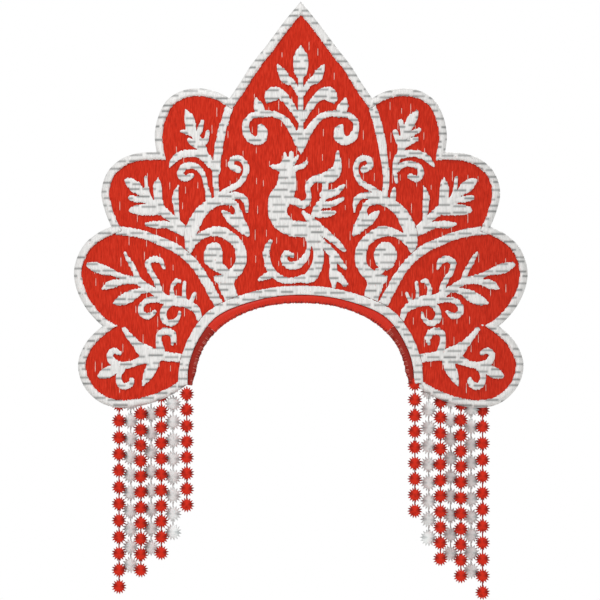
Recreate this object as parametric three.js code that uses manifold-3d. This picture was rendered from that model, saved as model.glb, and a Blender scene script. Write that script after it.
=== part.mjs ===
// A festive kokoshnik: a stiff crown of cloth-covered card with raised satin embroidery,
// a braided edge, padded rolls along the brow and strings of glass beads at the temples.
// Millimetres, +Z up, front towards -Y, the origin at the top of the brow arch where the head bears.
import * as THREE from "three";
import { mergeVertices } from "three/addons/utils/BufferGeometryUtils.js";
import Module from "manifold-3d";

const wasm = await Module();
wasm.setup();

// Driving dimensions.
const BOARD_RADIUS = 310; // bend of the crown round a vertical axis behind it
const BOARD_THICKNESS = 3.2;
const GAP = 0.3; // kept between neighbouring pieces
const BRAID_WIDTH = 5.2; // silver edge, seen from the front
const BRAID_THICKNESS = 1.5;
const STITCH_THICKNESS = 1.2; // raised satin embroidery
const ARCH_HALF_WIDTH = 79.5;
const ARCH_HEIGHT = 60.5;
const ARCH_BASE = -55; // height of the arch's springing line
const ARCH_ROUNDNESS = 2.15; // exponent of the superellipse
const ARCH_FOOT = -58;
const SHOULDER_RISE = 2; // the arch stands this much outside the superellipse at its two shoulders
const SHOULDER_ANGLE = 44;
const SHOULDER_SPREAD = 14;
const ARCH_BRAID_WIDTH = 6.3;
const ROLL_RADIUS = 2.65;
const ROLL_TAPER_START = -48; // height below which the dark rolls grow thinner
const ROLL_FOOT_RADIUS = 1.3;
const COLOUR_CHANGE = 37; // degrees up the arch where the bright roll meets the dark one
const BAND_THICKNESS = 2;
const BAND_DEPTH = 36;
const THREAD_RADIUS = 0.6;
const RED_BEAD_RADIUS = 3.8;
const SILVER_BEAD_RADIUS = 4.1;
const GIRDLE = 0.36; // half the height of a bead's straight girdle, as a share of its radius
const ROW_OFFSET = 3.3; // red strings hang this far in front of the board's middle, silver ones behind
const RIGHT_DROP = 4.1; // the strings on the wearer's left, at +X, hang this much lower

// Fineness of the facets.
const BEND_FACETS = 16;
const BEND_HALF_ANGLE = 32;
const SPLIT_TURN = 46; // degrees of turn in one row above which a stroke gets a section more
const TIP_LENGTH = 0.45; // a stroke's blunt point, as a share of its width
const ARCH_FACETS = 20;
const BEAD_SIDES = 8;
const ROLL_SIDES = 8;
const FAR_BELOW = -100; // under the whole crown

const MIDDLE = BOARD_THICKNESS / 2;

// The scalloped edge, one petal a table. Columns: out from the centre line, up from the origin.
// The first and last rows of a side petal run on under its neighbours.
const PETALS = {
  ogee: {
    heart: [[0, 20]],
    edge: [[0, 210.7], [11, 197.5], [24, 180], [35, 166], [42.5, 154], [50, 143], [57, 133]],
  },
  upper: {
    heart: [[40, 60]],
    edge: [[42, 138], [50, 143], [57, 147], [70, 150], [83, 148.5], [94, 141.5], [100.5, 128.5],
      [102.4, 117], [101.2, 105.5], [99, 95]],
  },
  middle: {
    heart: [[50, 40]],
    edge: [[91, 105], [100, 105.5], [115.5, 104.5], [127, 100], [136, 91], [140, 77], [137.5, 64.5],
      [133, 53.2], [129.5, 46]],
  },
  side: {
    heart: [[70, 5]],
    edge: [[124, 56], [133, 53.2], [143, 48.5], [153, 39.5], [159, 25], [158.5, 13], [151.5, -3],
      [139.1, -16.5], [131, -21]],
  },
  temple: {
    heart: [[72, -58], [66, -5]],
    edge: [[131, -11.5], [139.1, -16.5], [151, -28.5], [156.5, -43.5], [152.5, -58.5], [141, -70],
      [126, -74], [108, -71.5], [92, -65.5], [79.3, -57.8], [73, -54]],
  },
};

// The field that all petals share, with a corner at the inner tip of each notch.
const CORE = [[0, 190], [50, 133], [95, 97], [126.5, 50], [127, -16], [86, -52], [62, -12], [0, 0]];

// Embroidery. Each stroke is a table with the columns out, up, width, and its last row is its tip.
const PALMETTE_STEM = [
  [[0, 104, 0.6], [0, 109, 5.6], [0, 115.5, 10], [0, 121, 4.5], [0, 140, 4.2], [0, 158, 4.3],
    [0, 161.5, 8.5], [0, 166, 11], [0, 170.5, 10.5], [0, 175, 6.3], [0, 179.5, 0.8]],
];

const PALMETTE = {
  upperLeaf: [[1, 146, 3.5], [6, 153.5, 4.2], [10.6, 156.6, 6.6], [13, 160.6, 6.2], [16, 166, 1.8]],
  hoodLeaf: [[1, 127.5, 3.2], [6.3, 136.8, 5], [10.3, 142.2, 5.8], [15.3, 146.2, 7.8], [19.8, 145.8, 9.8],
    [22.6, 142.8, 5.4], [23.3, 140, 1.6]],
  scroll: [[0.5, 109, 4.2], [4, 117, 5], [7.5, 123, 5], [12.5, 129, 4.5], [19.5, 132, 4.2],
    [27.5, 132, 4.5], [34.5, 130.5, 4.2], [38.5, 126, 4.5], [38.5, 120.5, 5], [36, 115.5, 5.6],
    [31.5, 113.2, 6], [27.8, 115.2, 7.6], [26.8, 119.8, 7.2], [28.2, 122.9, 4]],
  scrollLeaf: [[27, 132, 5], [29.4, 136.3, 7.2], [30.7, 139.8, 4.6], [31.2, 143.2, 0.8]],
};

// The firebird isn't mirrored, so its first column is x, to the wearer's left.
const FIREBIRD = {
  body: [[-9.5, 98, 8.5], [-9.5, 89, 11.5], [-10.5, 80, 14], [-15, 71.5, 15.2], [-16.5, 64.5, 13.5],
    [-14, 57.5, 12.5], [-7.5, 52.4, 11.2], [0, 51.4, 11.4], [6, 50.8, 10.8]],
  beak: [[-12, 94.2, 7.4], [-17, 94.8, 4.2], [-21.5, 95.6, 1]],
  crestFront: [[-10.5, 98, 4], [-11, 104, 2.3]],
  crestMiddle: [[-7, 98, 4], [-6.8, 104.6, 3]],
  crestBack: [[-7, 96, 4], [-2, 102.5, 2]],
  crestLow: [[-7, 92, 4], [-2, 94.5, 3.5], [2, 96, 3.5], [4, 98.8, 1.8]],
  wingEdge: [[-8.5, 72.5, 5.2], [-3, 70.3, 5.2], [1.5, 68.5, 5.3], [5.2, 71.4, 4], [5.7, 75.5, 3.6],
    [5, 80, 3.8], [6.5, 84, 4.5], [10.5, 86.5, 5], [16, 87, 7], [21.5, 89, 9], [25.5, 94, 6.6],
    [26, 99.5, 4.2], [26, 105.5, 2]],
  wingSpine: [[17, 86, 5], [17, 78.5, 4], [16, 73.5, 3.8], [14.4, 69.5, 4.8], [11, 65, 5.2],
    [9.4, 61.5, 4.2]],
  featherTop: [[16.5, 75.5, 6.4], [21.5, 76.4, 5.8], [25.5, 78, 4.8], [30, 82, 2.4]],
  featherMiddle: [[13, 68.5, 5.2], [20, 68.6, 4.2], [26.5, 71.2, 3.6], [29.3, 72.8, 2.4]],
  featherLow: [[9.5, 62, 4.5], [14, 61.8, 4.8], [19, 62.2, 4.4], [23.3, 63, 2.6]],
  tailTop: [[1.5, 63, 2.5], [5.5, 59, 5], [9.5, 54.5, 7], [14.5, 50.5, 6.3], [25, 42, 4.5],
    [30.5, 36.5, 2.5]],
  tailMiddle: [[10, 47, 5.6], [16, 40.9, 5], [20.9, 35.9, 5.6], [25.9, 30.3, 4.9],
    [30.9, 24.3, 2.4]],
  tailLow: [[19.3, 37.5, 3.2], [22.3, 31.5, 4.9], [23, 25, 5.2], [23, 19.5, 6.3], [23.3, 11, 3]],
  tailSpur: [[23, 22, 5], [27, 17.5, 5.6], [31, 13, 3.9]],
  trunk: [[7, 49, 10], [12, 39, 7.4], [12.5, 32, 7], [10.8, 24.5, 7.8], [7, 18.2, 8.2], [-1.5, 16.2, 4.5],
    [-8.5, 15.3, 4.5], [-15, 17, 5], [-21, 22.5, 5.2], [-23.5, 29.5, 4.5], [-24, 36.5, 4.5],
    [-21, 43, 2.8]],
  foot: [[-19.5, 20.5, 5.6], [-24.5, 18, 4.5], [-29, 16, 2]],
  spiral: [[4.5, 47, 4.2], [5.5, 40.5, 3], [4.5, 34.5, 3.5], [1, 29, 5], [-3.5, 26, 5.6],
    [-9, 26.5, 5.4], [-12, 30.5, 4.5], [-10, 34.5, 4.2], [-6.3, 33, 3.4]],
};

const PANEL_RIB = {
  rib: [[46.5, 146, 5.6], [52, 131, 5.6], [55.5, 118.5, 5.6], [58, 104.5, 5.6], [59.5, 90.5, 4.5],
    [59, 75, 4.2]],
};

const VINE = {
  arch: [[78.5, 36, 4], [77.5, 41.5, 7.7], [77, 49, 8.8], [73.6, 57.2, 9], [69.1, 64.2, 8],
    [62.8, 69.1, 7.2], [56, 71.8, 7], [50.5, 72, 5.6]],
  innerCurl: [[57, 75, 4.2], [49.5, 79.7, 4], [42.6, 83.8, 4], [39, 89.6, 4], [38.6, 96, 4],
    [42.4, 100.8, 4], [47.4, 100.4, 4], [48.7, 96, 4.2], [43.8, 93, 4.6]],
  innerHook: [[50.5, 74.5, 5], [45, 75, 4.5], [40.5, 73.5, 4.2], [38, 69.5, 3.8], [37.5, 63.5, 1.5]],
  innerLeaf: [[52, 70.5, 4.2], [47, 69.5, 4.2], [44, 64.5, 4.2], [43.7, 59.2, 7.2], [40.8, 52.8, 7.8],
    [37.2, 47.8, 3.2]],
  barb: [[42, 53, 6.3], [48, 57.5, 6.3], [51.5, 61, 5], [54.5, 63.5, 2]],
  loop: [[77, 42, 7], [70, 46.5, 5.2], [63, 49.5, 6.3], [56, 49.5, 7.4], [49.5, 46, 7],
    [44.5, 41.5, 7], [42, 35, 7.7], [42, 28, 7.7], [45, 22.5, 7.7], [50, 17.5, 9], [52, 12, 11],
    [49.5, 5.5, 10], [48.5, 1, 10]],
  footSpur: [[52, 17, 7], [57, 16, 6.3], [59.5, 17.5, 2.8]],
};

// The two sides of the vine differ a little: the left one ends its stem in a curl and a slim bud.
const VINE_LEFT_ONLY = {
  bud: [[50, 19.5, 5], [58.8, 26.3, 8.4], [61.6, 31.6, 13], [61, 35.6, 12.2], [59.4, 38.4, 6]],
  stemCurl: [[64, 71, 5], [66, 80, 3.4], [67.6, 87, 3.5], [70.6, 93, 3.8], [76, 96, 4.8], [81.6, 95, 4.8],
    [84.5, 90.5, 4.6], [81.5, 87, 4.5], [76.4, 88.8, 4]],
};

const VINE_RIGHT_ONLY = {
  bud: [[50, 18, 7], [57, 24, 5], [59.2, 30, 14], [59.2, 34, 15.6], [59.4, 37.6, 10]],
  spur: [[64, 71, 5], [65, 76.5, 3.6], [65.5, 80, 2]],
};

const UPPER_SPRIG_LEFT = {
  stem: [[59, 93.5, 5.6], [65, 99.5, 6], [67.6, 104.5, 5.2], [69.6, 109, 6], [74, 117.5, 5.4]],
  bigLeaf: [[73.6, 117, 4.2], [76.8, 122, 6.6], [77.7, 127.5, 7.2], [80.4, 135.2, 1]],
  middleLeaf: [[73, 116.5, 4.2], [70.6, 121.5, 3.6], [69.2, 127, 2.3]],
  innerLeaf: [[69.5, 111, 5], [66.5, 114, 3.6], [65, 119.2, 2.7]],
  outerLeaf: [[73, 117, 3.6], [78.5, 119, 3.5], [83, 120, 2.8]],
  lowLeaf: [[70, 109.5, 5], [75, 111.5, 4.5], [78.5, 114, 2.5]],
  arm: [[66, 101, 6.3], [71, 104, 5.2], [78, 104.5, 5.2], [84, 103.5, 5], [89, 100, 4.5], [92, 95, 1]],
};

const UPPER_SPRIG_RIGHT = {
  stem: [[67, 84.5, 2.5], [66, 92.5, 3.5], [67, 99.5, 4.2], [70, 105.5, 5], [71, 111.5, 5.6],
    [71.8, 116.5, 5]],
  bigLeaf: [[72, 115.5, 4.2], [75, 122.5, 6.3], [78.5, 129, 6.6], [81.5, 133.5, 2.8]],
  middleLeaf: [[72, 115.5, 4.2], [71, 122, 3.9], [70, 127, 2.8]],
  innerLeaf: [[70.5, 111, 5], [67.5, 115.5, 4.2], [66, 119.5, 3.5]],
  outerLeaf: [[72, 115.5, 4.2], [78, 118.5, 4.2], [83, 121, 2.8]],
  lowLeaf: [[71.5, 109.6, 4.6], [77, 113, 4.6], [81.3, 114.6, 3]],
  arm: [[69, 103, 5], [77, 104.5, 5], [84, 103.5, 5], [88.5, 101, 4.5], [93, 96, 2]],
  curl: [[66.5, 92.5, 4], [71, 96.2, 4], [77, 97.2, 4], [82.6, 94.9, 4], [84.2, 90.5, 4.2],
    [81.5, 86.6, 4.4], [76.8, 88.2, 4]],
};

const MID_SPRIG = {
  stem: [[100.5, 67.5, 7], [96, 63.5, 6.6], [91, 59.5, 5.6], [86.5, 55.5, 5.6], [80, 48.5, 6.3]],
  leafOut: [[102.5, 69, 3.5], [112, 77.5, 5.6], [116.5, 81.5, 8], [120.5, 84.5, 5.6], [123.5, 86, 1]],
  leafUp: [[104, 69, 3.6], [107.5, 77, 3.3], [109, 87.6, 2.3]],
  leafInner: [[99.5, 67, 6.6], [100.1, 74, 6.4], [100.6, 80.5, 6.2], [100.2, 87.3, 1]],
  leafFlat: [[102, 68.5, 4.2], [110, 72, 4.2], [115.5, 72.5, 4.5], [120, 73.5, 3]],
  leafLow: [[99.5, 65, 7.4], [111.5, 65, 7.7], [117, 65, 5.2], [120, 64.5, 1.4]],
  leafInnerTall: [[86, 53, 3.8], [86.8, 60, 3.5], [87.4, 67, 3.8], [87.9, 73.5, 4.8], [86, 81.8, 0.8]],
  leafUnder: [[81.5, 48.5, 4.5], [87.5, 51.8, 5.2], [94.5, 54.5, 5], [102.5, 54.5, 5], [108.5, 55, 2]],
};

const LOBE_RIB = {
  rib: [[131, 51, 6.3], [112, 48, 5.6], [96, 42, 6], [87.5, 38, 6.3], [79.5, 32, 6], [73, 25, 6],
    [67, 16, 6.3], [58.5, 0.5, 6.6], [55, -5, 6.6]],
};

const LEAF_SPRAY = {
  stem: [[68, -16, 4.2], [71, -11, 4.2], [73, -5.5, 5], [78.5, -1.5, 6], [85.5, 1, 7.4], [94, 2, 7],
    [99.5, 5.5, 5.6], [105, 9.5, 4.5], [115.5, 15.5, 5]],
  tip: [[115, 15.3, 5], [125, 18, 4.2], [132, 21, 4.2], [139, 23, 7], [144.5, 25, 6.6],
    [149, 26.5, 3.5]],
  lowerTip: [[112, 14, 4.3], [119, 14.9, 3.7], [127, 14.2, 4.2], [133, 12.7, 6], [139, 9.8, 1.4]],
  lowLeaf: [[104, 9.2, 3], [113, 7.8, 4.6], [119.3, 4.5, 7.8], [125.8, 1.5, 6.8], [130.8, -0.2, 1.8]],
  upLeaf: [[113.5, 14.5, 4.2], [116, 21.5, 3.8], [119.8, 28, 3.5], [123.3, 34.8, 1.7]],
  hook: [[98, 4.5, 4.5], [101.5, 15.5, 3.9], [105.6, 22, 3.7], [107, 27.5, 4.2], [103.4, 30.4, 4.2],
    [98.3, 29.2, 4], [96, 24, 2]],
  smallHook: [[89.5, 3, 3.5], [90.4, 10, 2.8], [87.4, 15.2, 3], [84.8, 14.8, 2.5]],
  upright: [[81.5, 0.5, 3.5], [81.8, 7.5, 2.8], [81.2, 13.8, 2.3]],
  spur: [[77.5, -1, 3.2], [75.7, 3.3, 2.7], [74.3, 6.3, 2.3]],
  outerCurl: [[94.5, 1.5, 5.6], [101.8, 2, 4], [108, 1.2, 4], [111.7, -2.8, 4],
    [111.3, -7.6, 4.3], [107.2, -9.6, 4.6], [102.5, -6.5, 2.6]],
  innerCurl: [[90, 0.5, 5], [94.5, -3, 4.5], [96.5, -8, 4.5], [95, -12.8, 4.5], [90.5, -14.5, 4.5],
    [86, -11, 3], [85, -7, 1.8]],
};

const LOW_SPRAY = {
  stem: [[82, -39, 6], [92.5, -38, 6.3], [101.5, -36.5, 7.7], [109.3, -34.2, 9.4], [114.8, -29.6, 6],
    [119.6, -24.3, 4.6], [124, -18.8, 3.3]],
  outerCurl: [[104, -38, 8.4], [111, -40, 6.3], [118, -43, 4.5], [125.5, -44, 5], [132, -41.5, 5],
    [134.3, -37, 4.2], [131.5, -33.8, 4.2], [127, -35.5, 3.2]],
  outerLeaf: [[125, -44.5, 5], [132, -47.5, 7], [136.5, -49.5, 7.7], [141, -51.5, 3.5]],
  lowCurl: [[124.5, -44.5, 5], [127.8, -51, 4], [127.3, -56, 4.5], [124, -58.8, 4.8],
    [119.5, -57, 4.2], [118.5, -54, 3]],
  middleLeaf: [[102.5, -38, 9], [104.3, -45, 7.8], [107, -50.5, 7.2], [110.5, -58, 1]],
  innerCurl: [[98, -35, 5.6], [99.5, -27.5, 4.5], [99, -22.5, 4.5], [95.5, -20, 5], [91, -21.2, 5],
    [89, -25, 4.2], [90, -29, 2]],
};

// Bead strings. Beads are counted from the top, and heights are those of bead centres.
// The outermost string has its beads one by one, and the others are plain tubes of their beads' width.
const STRINGS = [
  { name: "red_string_1", red: true, beaded: true, out: 127.5, first: -83.1, last: -199.3, beads: 11 },
  { name: "silver_string_1", red: false, out: 119.4, first: -83.1, last: -184.1, beads: 9 },
  { name: "red_string_2", red: true, out: 112.2, first: -78.2, last: -187.6, beads: 11 },
  { name: "silver_string_2", red: false, out: 105, first: -78.2, last: -171.9, beads: 8 },
  { name: "red_string_3", red: true, out: 97.8, first: -76.5, last: -175.4, beads: 10 },
  { name: "silver_string_3", red: false, out: 89.6, first: -70.9, last: -160.8, beads: 8 },
  { name: "red_string_4", red: true, out: 79.9, first: -64.2, last: -141.8, beads: 8 },
];

const COLOURS = {
  redCloth: { color: 0xd02e1c, roughness: 0.75, metalness: 0 },
  brightRoll: { color: 0xe63423, roughness: 0.6, metalness: 0 },
  darkRoll: { color: 0x9e2016, roughness: 0.65, metalness: 0 },
  silverThread: { color: 0xe4e5e4, roughness: 0.45, metalness: 0.1 },
  bandCloth: { color: 0xb02212, roughness: 0.8, metalness: 0 },
  redGlass: { color: 0xd8301f, roughness: 0.2, metalness: 0 },
  silverGlass: { color: 0xd6d6d6, roughness: 0.25, metalness: 0.3 },
};

const part = new THREE.Group();
part.name = "kokoshnik";

// A closed solid for joins and cuts, from a geometry whose shared corners are merged.
function solid(geometry) {
  geometry.deleteAttribute("normal");
  geometry.deleteAttribute("uv");
  const merged = mergeVertices(geometry);
  return new wasm.Manifold(new wasm.Mesh({
    numProp: 3,
    vertProperties: new Float32Array(merged.attributes.position.array),
    triVerts: new Uint32Array(merged.index.array),
  }));
}

function addPiece(name, geometry, finish) {
  const piece = new THREE.Mesh(geometry, new THREE.MeshStandardMaterial(COLOURS[finish]));
  piece.name = name;
  part.add(piece);
}

function addSolid(name, body, finish) {
  const mesh = body.getMesh();
  const geometry = new THREE.BufferGeometry();
  geometry.setAttribute("position", new THREE.BufferAttribute(new Float32Array(mesh.vertProperties), 3));
  geometry.setIndex(new THREE.BufferAttribute(new Uint32Array(mesh.triVerts), 1));
  geometry.computeVertexNormals();
  addPiece(name, geometry, finish);
}

function outlineShape(points) {
  return new THREE.Shape(points.map(([x, z]) => new THREE.Vector2(x, z)));
}

// A prism that runs from in front of the crown to behind it, with an outline drawn in the front view.
function frontPrism(points) {
  const front = -20;
  const back = 140;
  const geometry = new THREE.ExtrudeGeometry(outlineShape(points), { depth: back - front, bevelEnabled: false });
  geometry.rotateX(Math.PI / 2);
  geometry.translate(0, back, 0);
  return solid(geometry);
}

// A layer of the bent crown, between two depths behind the board's front face.
function layer(front, back) {
  const arc = (depth, turn) => {
    const angle = THREE.MathUtils.degToRad(turn);
    const radius = BOARD_RADIUS - depth;
    return [radius * Math.sin(angle), BOARD_RADIUS - radius * Math.cos(angle)];
  };
  const turns = [];
  for (let i = 0; i <= BEND_FACETS; i += 1) {
    turns.push(BEND_HALF_ANGLE * (2 * i / BEND_FACETS - 1));
  }
  const outline = turns.map((turn) => arc(front, turn));
  outline.push(...turns.reverse().map((turn) => arc(back, turn)));
  const top = 230;
  const depth = top - FAR_BELOW;
  const geometry = new THREE.ExtrudeGeometry(outlineShape(outline), { depth, bevelEnabled: false });
  geometry.translate(0, 0, FAR_BELOW);
  return solid(geometry);
}

// Distance behind the front plane of a point at a sideways place and a depth in the bent crown.
function bendBack(x, depth) {
  const radius = BOARD_RADIUS - depth;
  return BOARD_RADIUS - Math.sqrt(radius * radius - x * x);
}

// Stations along a smooth line through a table's rows, each with its place, heading and width.
function stations(rows) {
  const curve = new THREE.CatmullRomCurve3(
    rows.map(([x, z, width = 0]) => new THREE.Vector3(x, z, width)), false, "centripetal");
  const last = rows.length - 1;
  const heading = (stop) => {
    const tangent = curve.getTangent(stop / last);
    return new THREE.Vector2(tangent.x, tangent.y).normalize();
  };
  const stops = [0];
  for (let i = 0; i < last; i += 1) {
    const turn = Math.acos(THREE.MathUtils.clamp(heading(i).dot(heading(i + 1)), -1, 1));
    if (THREE.MathUtils.radToDeg(turn) > SPLIT_TURN) {
      stops.push(i + 0.5);
    }
    stops.push(i + 1);
  }
  return stops.map((stop) => {
    const place = curve.getPoint(stop / last);
    return { x: place.x, z: place.y, width: place.z, heading: heading(stop) };
  });
}

// One stroke of embroidery as prisms from section to section, with a blunt point at its tip.
function strokePrisms(rows, side, extra) {
  const sections = stations(rows);
  const corners = sections.map(({ x, z, width, heading }) => {
    const half = width / 2 + extra;
    return [[side * (x - heading.y * half), z + heading.x * half],
      [side * (x + heading.y * half), z - heading.x * half]];
  });
  const prisms = [];
  for (let i = 1; i < corners.length; i += 1) {
    const four = [...corners[i - 1], ...corners[i]];
    const middle = [0, 1].map((axis) => four.reduce((sum, point) => sum + point[axis] / 4, 0));
    const bearing = (point) => Math.atan2(point[1] - middle[1], point[0] - middle[0]);
    prisms.push(frontPrism(four.sort((a, b) => bearing(a) - bearing(b))));
  }
  const end = sections[sections.length - 1];
  const reach = end.width * TIP_LENGTH + extra;
  const tip = [side * (end.x + end.heading.x * reach), end.z + end.heading.y * reach];
  prisms.push(frontPrism([...corners[corners.length - 1], tip]));
  return prisms;
}

function motif(strokes, side, extra = 0) {
  return wasm.Manifold.union(Object.values(strokes).flatMap((rows) => strokePrisms(rows, side, extra)));
}

// The crown's front outline drawn in by a distance all round its scalloped edge.
function crownPrism(inset) {
  const prisms = [];
  for (const side of [-1, 1]) {
    for (const { heart, edge } of Object.values(PETALS)) {
      const drawnIn = stations(edge).map(({ x, z, heading }) => [
        x + heading.y * inset,
        z - heading.x * inset,
      ]);
      const outline = edge[0][0] === 0 ? cutAtCentre(drawnIn) : drawnIn;
      prisms.push(frontPrism([...outline, ...heart].map(([x, z]) => [side * x, z])));
    }
    prisms.push(frontPrism(CORE.map(([x, z]) => [side * x, z])));
  }
  return wasm.Manifold.union(prisms);
}

// Drops the stretch of a line that crosses the centre line, and starts it on the centre line.
function cutAtCentre(points) {
  const first = points.findIndex(([x]) => x > 0);
  const [[x1, z1], [x2, z2]] = points.slice(first - 1);
  return [[0, z1 + x1 * (z1 - z2) / (x2 - x1)], ...points.slice(first)];
}

// How far up its shoulder the arch is, from 0 to 1 where it stands out most.
function shoulder(degrees) {
  const away = (Math.min(degrees, 180 - degrees) - SHOULDER_ANGLE) / SHOULDER_SPREAD;
  return Math.exp(-away * away);
}

// A point of the brow arch, an upper half of a superellipse with raised shoulders, grown outwards.
function archPoint(degrees, grow) {
  const angle = THREE.MathUtils.degToRad(degrees);
  const power = 2 / ARCH_ROUNDNESS;
  const grown = grow + SHOULDER_RISE * shoulder(degrees);
  const x = (ARCH_HALF_WIDTH + grown) * Math.abs(Math.cos(angle)) ** power;
  const z = ARCH_BASE + (ARCH_HEIGHT + grown) * Math.abs(Math.sin(angle)) ** power;
  return [Math.cos(angle) < 0 ? -x : x, z];
}

function archPrism(grow, foot) {
  const outline = [[ARCH_HALF_WIDTH + grow, foot]];
  for (let i = 0; i <= ARCH_FACETS; i += 1) {
    outline.push(archPoint(180 * i / ARCH_FACETS, grow));
  }
  outline.push([-ARCH_HALF_WIDTH - grow, foot]);
  return frontPrism(outline);
}

// Crown board, its edge braid and the braid along the brow.
const wholeArch = archPrism(0, FAR_BELOW);
const archWithBraid = archPrism(ARCH_BRAID_WIDTH + GAP, FAR_BELOW);
const outline = crownPrism(0);
const field = crownPrism(BRAID_WIDTH + GAP);

const board = crownPrism(BRAID_THICKNESS + GAP)
  .intersect(layer(0, BOARD_THICKNESS))
  .subtract(wholeArch);
addSolid("crown_board", board, "redCloth");

const braidSlot = crownPrism(BRAID_THICKNESS).intersect(layer(-GAP, BOARD_THICKNESS + GAP));
const edgeBraid = outline
  .subtract(crownPrism(BRAID_WIDTH))
  .intersect(layer(-GAP - BRAID_THICKNESS, BOARD_THICKNESS + GAP + BRAID_THICKNESS))
  .subtract(braidSlot)
  .subtract(archWithBraid);
addSolid("edge_braid", edgeBraid, "silverThread");

const archBraid = archPrism(ARCH_BRAID_WIDTH, FAR_BELOW)
  .subtract(wholeArch)
  .intersect(crownPrism(GAP))
  .intersect(layer(-GAP - BRAID_THICKNESS, -GAP));
addSolid("arch_braid", archBraid, "silverThread");

// One section of a padded roll: its middle, its half width across the front and the way out of the arch.
// The roll fills the shoulder, so it is widest there, and it keeps its thickness.
function rollSection(degrees) {
  const [, height] = archPoint(degrees, 0);
  const slim = THREE.MathUtils.clamp((height - ARCH_FOOT) / (ROLL_TAPER_START - ARCH_FOOT), 0, 1);
  const half = THREE.MathUtils.lerp(ROLL_FOOT_RADIUS, ROLL_RADIUS, slim)
    + SHOULDER_RISE * shoulder(degrees) / 2;
  const [x, z] = archPoint(degrees, -GAP - half);
  const [x1, z1] = archPoint(degrees + 1, -GAP - half);
  const along = new THREE.Vector2(x1 - x, z1 - z).normalize();
  return { x, z, half, out: [along.y, -along.x] };
}

// A closed tube of flat-sided sections. The last two points are the middles of its ends.
function addRoll(name, sections, side, finish) {
  const points = [];
  const corners = [];
  for (const { x, z, half, out } of sections) {
    for (let i = 0; i < ROLL_SIDES; i += 1) {
      const angle = 2 * Math.PI * i / ROLL_SIDES;
      const across = half * Math.cos(angle);
      const front = side * (x + out[0] * across);
      points.push(front, bendBack(front, MIDDLE - ROLL_RADIUS * Math.sin(angle)), z + out[1] * across);
    }
  }
  for (const { x, z } of [sections[0], sections[sections.length - 1]]) {
    points.push(side * x, bendBack(x, MIDDLE), z);
  }
  const ring = (row, i) => row * ROLL_SIDES + i % ROLL_SIDES;
  const last = sections.length - 1;
  const face = (a, b, c) => corners.push(...(side > 0 ? [a, c, b] : [a, b, c]));
  for (let i = 0; i < ROLL_SIDES; i += 1) {
    for (let row = 0; row < last; row += 1) {
      face(ring(row, i), ring(row, i + 1), ring(row + 1, i + 1));
      face(ring(row, i), ring(row + 1, i + 1), ring(row + 1, i));
    }
    face(sections.length * ROLL_SIDES, ring(0, i + 1), ring(0, i));
    face(sections.length * ROLL_SIDES + 1, ring(last, i), ring(last, i + 1));
  }
  const geometry = new THREE.BufferGeometry();
  geometry.setAttribute("position", new THREE.BufferAttribute(new Float32Array(points), 3));
  geometry.setIndex(corners);
  geometry.computeVertexNormals();
  addPiece(name, geometry, finish);
}

function rollSections(from, to, count) {
  const sections = [];
  for (let i = 0; i <= count; i += 1) {
    sections.push(rollSection(from + (to - from) * i / count));
  }
  return sections;
}

const rollGap = 0.2; // degrees of arch to each side of the colour change
const rollFoot = { x: ARCH_HALF_WIDTH - GAP - ROLL_FOOT_RADIUS, z: ARCH_FOOT, half: ROLL_FOOT_RADIUS, out: [1, 0] };
addRoll("brow_roll", rollSections(COLOUR_CHANGE + rollGap, 180 - COLOUR_CHANGE - rollGap, 14), 1, "brightRoll");
for (const [hand, side] of [["left", -1], ["right", 1]]) {
  const sections = [rollFoot, ...rollSections(3, COLOUR_CHANGE - rollGap, 6)];
  addRoll(`temple_roll_${hand}`, sections, side, "darkRoll");
}

// The plain band that sits on the head, behind the rolls.
const bandOutside = -1.4;
const headBand = archPrism(bandOutside, ARCH_FOOT)
  .subtract(archPrism(bandOutside - BAND_THICKNESS, FAR_BELOW))
  .intersect(layer(MIDDLE + ROLL_RADIUS + GAP, MIDDLE + ROLL_RADIUS + GAP + BAND_DEPTH));
addSolid("head_band", headBand, "bandCloth");

// Raised embroidery on the board's face.
const stitchLayer = layer(-GAP - STITCH_THICKNESS, -GAP);

function addMotif(name, prism) {
  const trimmed = prism.intersect(field).subtract(archWithBraid);
  addSolid(name, trimmed.intersect(stitchLayer), "silverThread");
}

addMotif("palmette", wasm.Manifold.union([
  motif(PALMETTE_STEM, 1),
  motif(PALMETTE, -1),
  motif(PALMETTE, 1),
]));
addMotif("firebird", motif(FIREBIRD, 1));

const sides = [
  { hand: "left", side: -1, own: { ...VINE_LEFT_ONLY, ...prefixed(UPPER_SPRIG_LEFT) } },
  { hand: "right", side: 1, own: VINE_RIGHT_ONLY },
];

function prefixed(strokes) {
  return Object.fromEntries(Object.entries(strokes).map(([name, rows]) => [`sprig_${name}`, rows]));
}

for (const { hand, side, own } of sides) {
  const vineStrokes = { ...PANEL_RIB, ...VINE, ...own };
  const ribClearance = motif(LOBE_RIB, side, GAP);
  addMotif(`lobe_rib_${hand}`, motif(LOBE_RIB, side));
  addMotif(`vine_${hand}`, motif(vineStrokes, side).subtract(ribClearance));
  addMotif(`mid_sprig_${hand}`, motif(MID_SPRIG, side)
    .subtract(motif(vineStrokes, side, GAP))
    .subtract(ribClearance));
  addMotif(`leaf_spray_${hand}`, motif(LEAF_SPRAY, side).subtract(ribClearance));
  addMotif(`low_spray_${hand}`, motif(LOW_SPRAY, side));
}
addMotif("upper_sprig_right", motif(UPPER_SPRIG_RIGHT, 1));

// Height of the crown's lower edge at a place along it.
function hemHeight(out) {
  const points = stations(PETALS.temple.edge);
  const lower = points.slice(points.findIndex(({ z }) => z < ARCH_BASE));
  const next = lower.findIndex(({ x }) => x < out);
  const [a, b] = [lower[next - 1], lower[next]];
  return a.z + (b.z - a.z) * (a.x - out) / (a.x - b.x);
}

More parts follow.
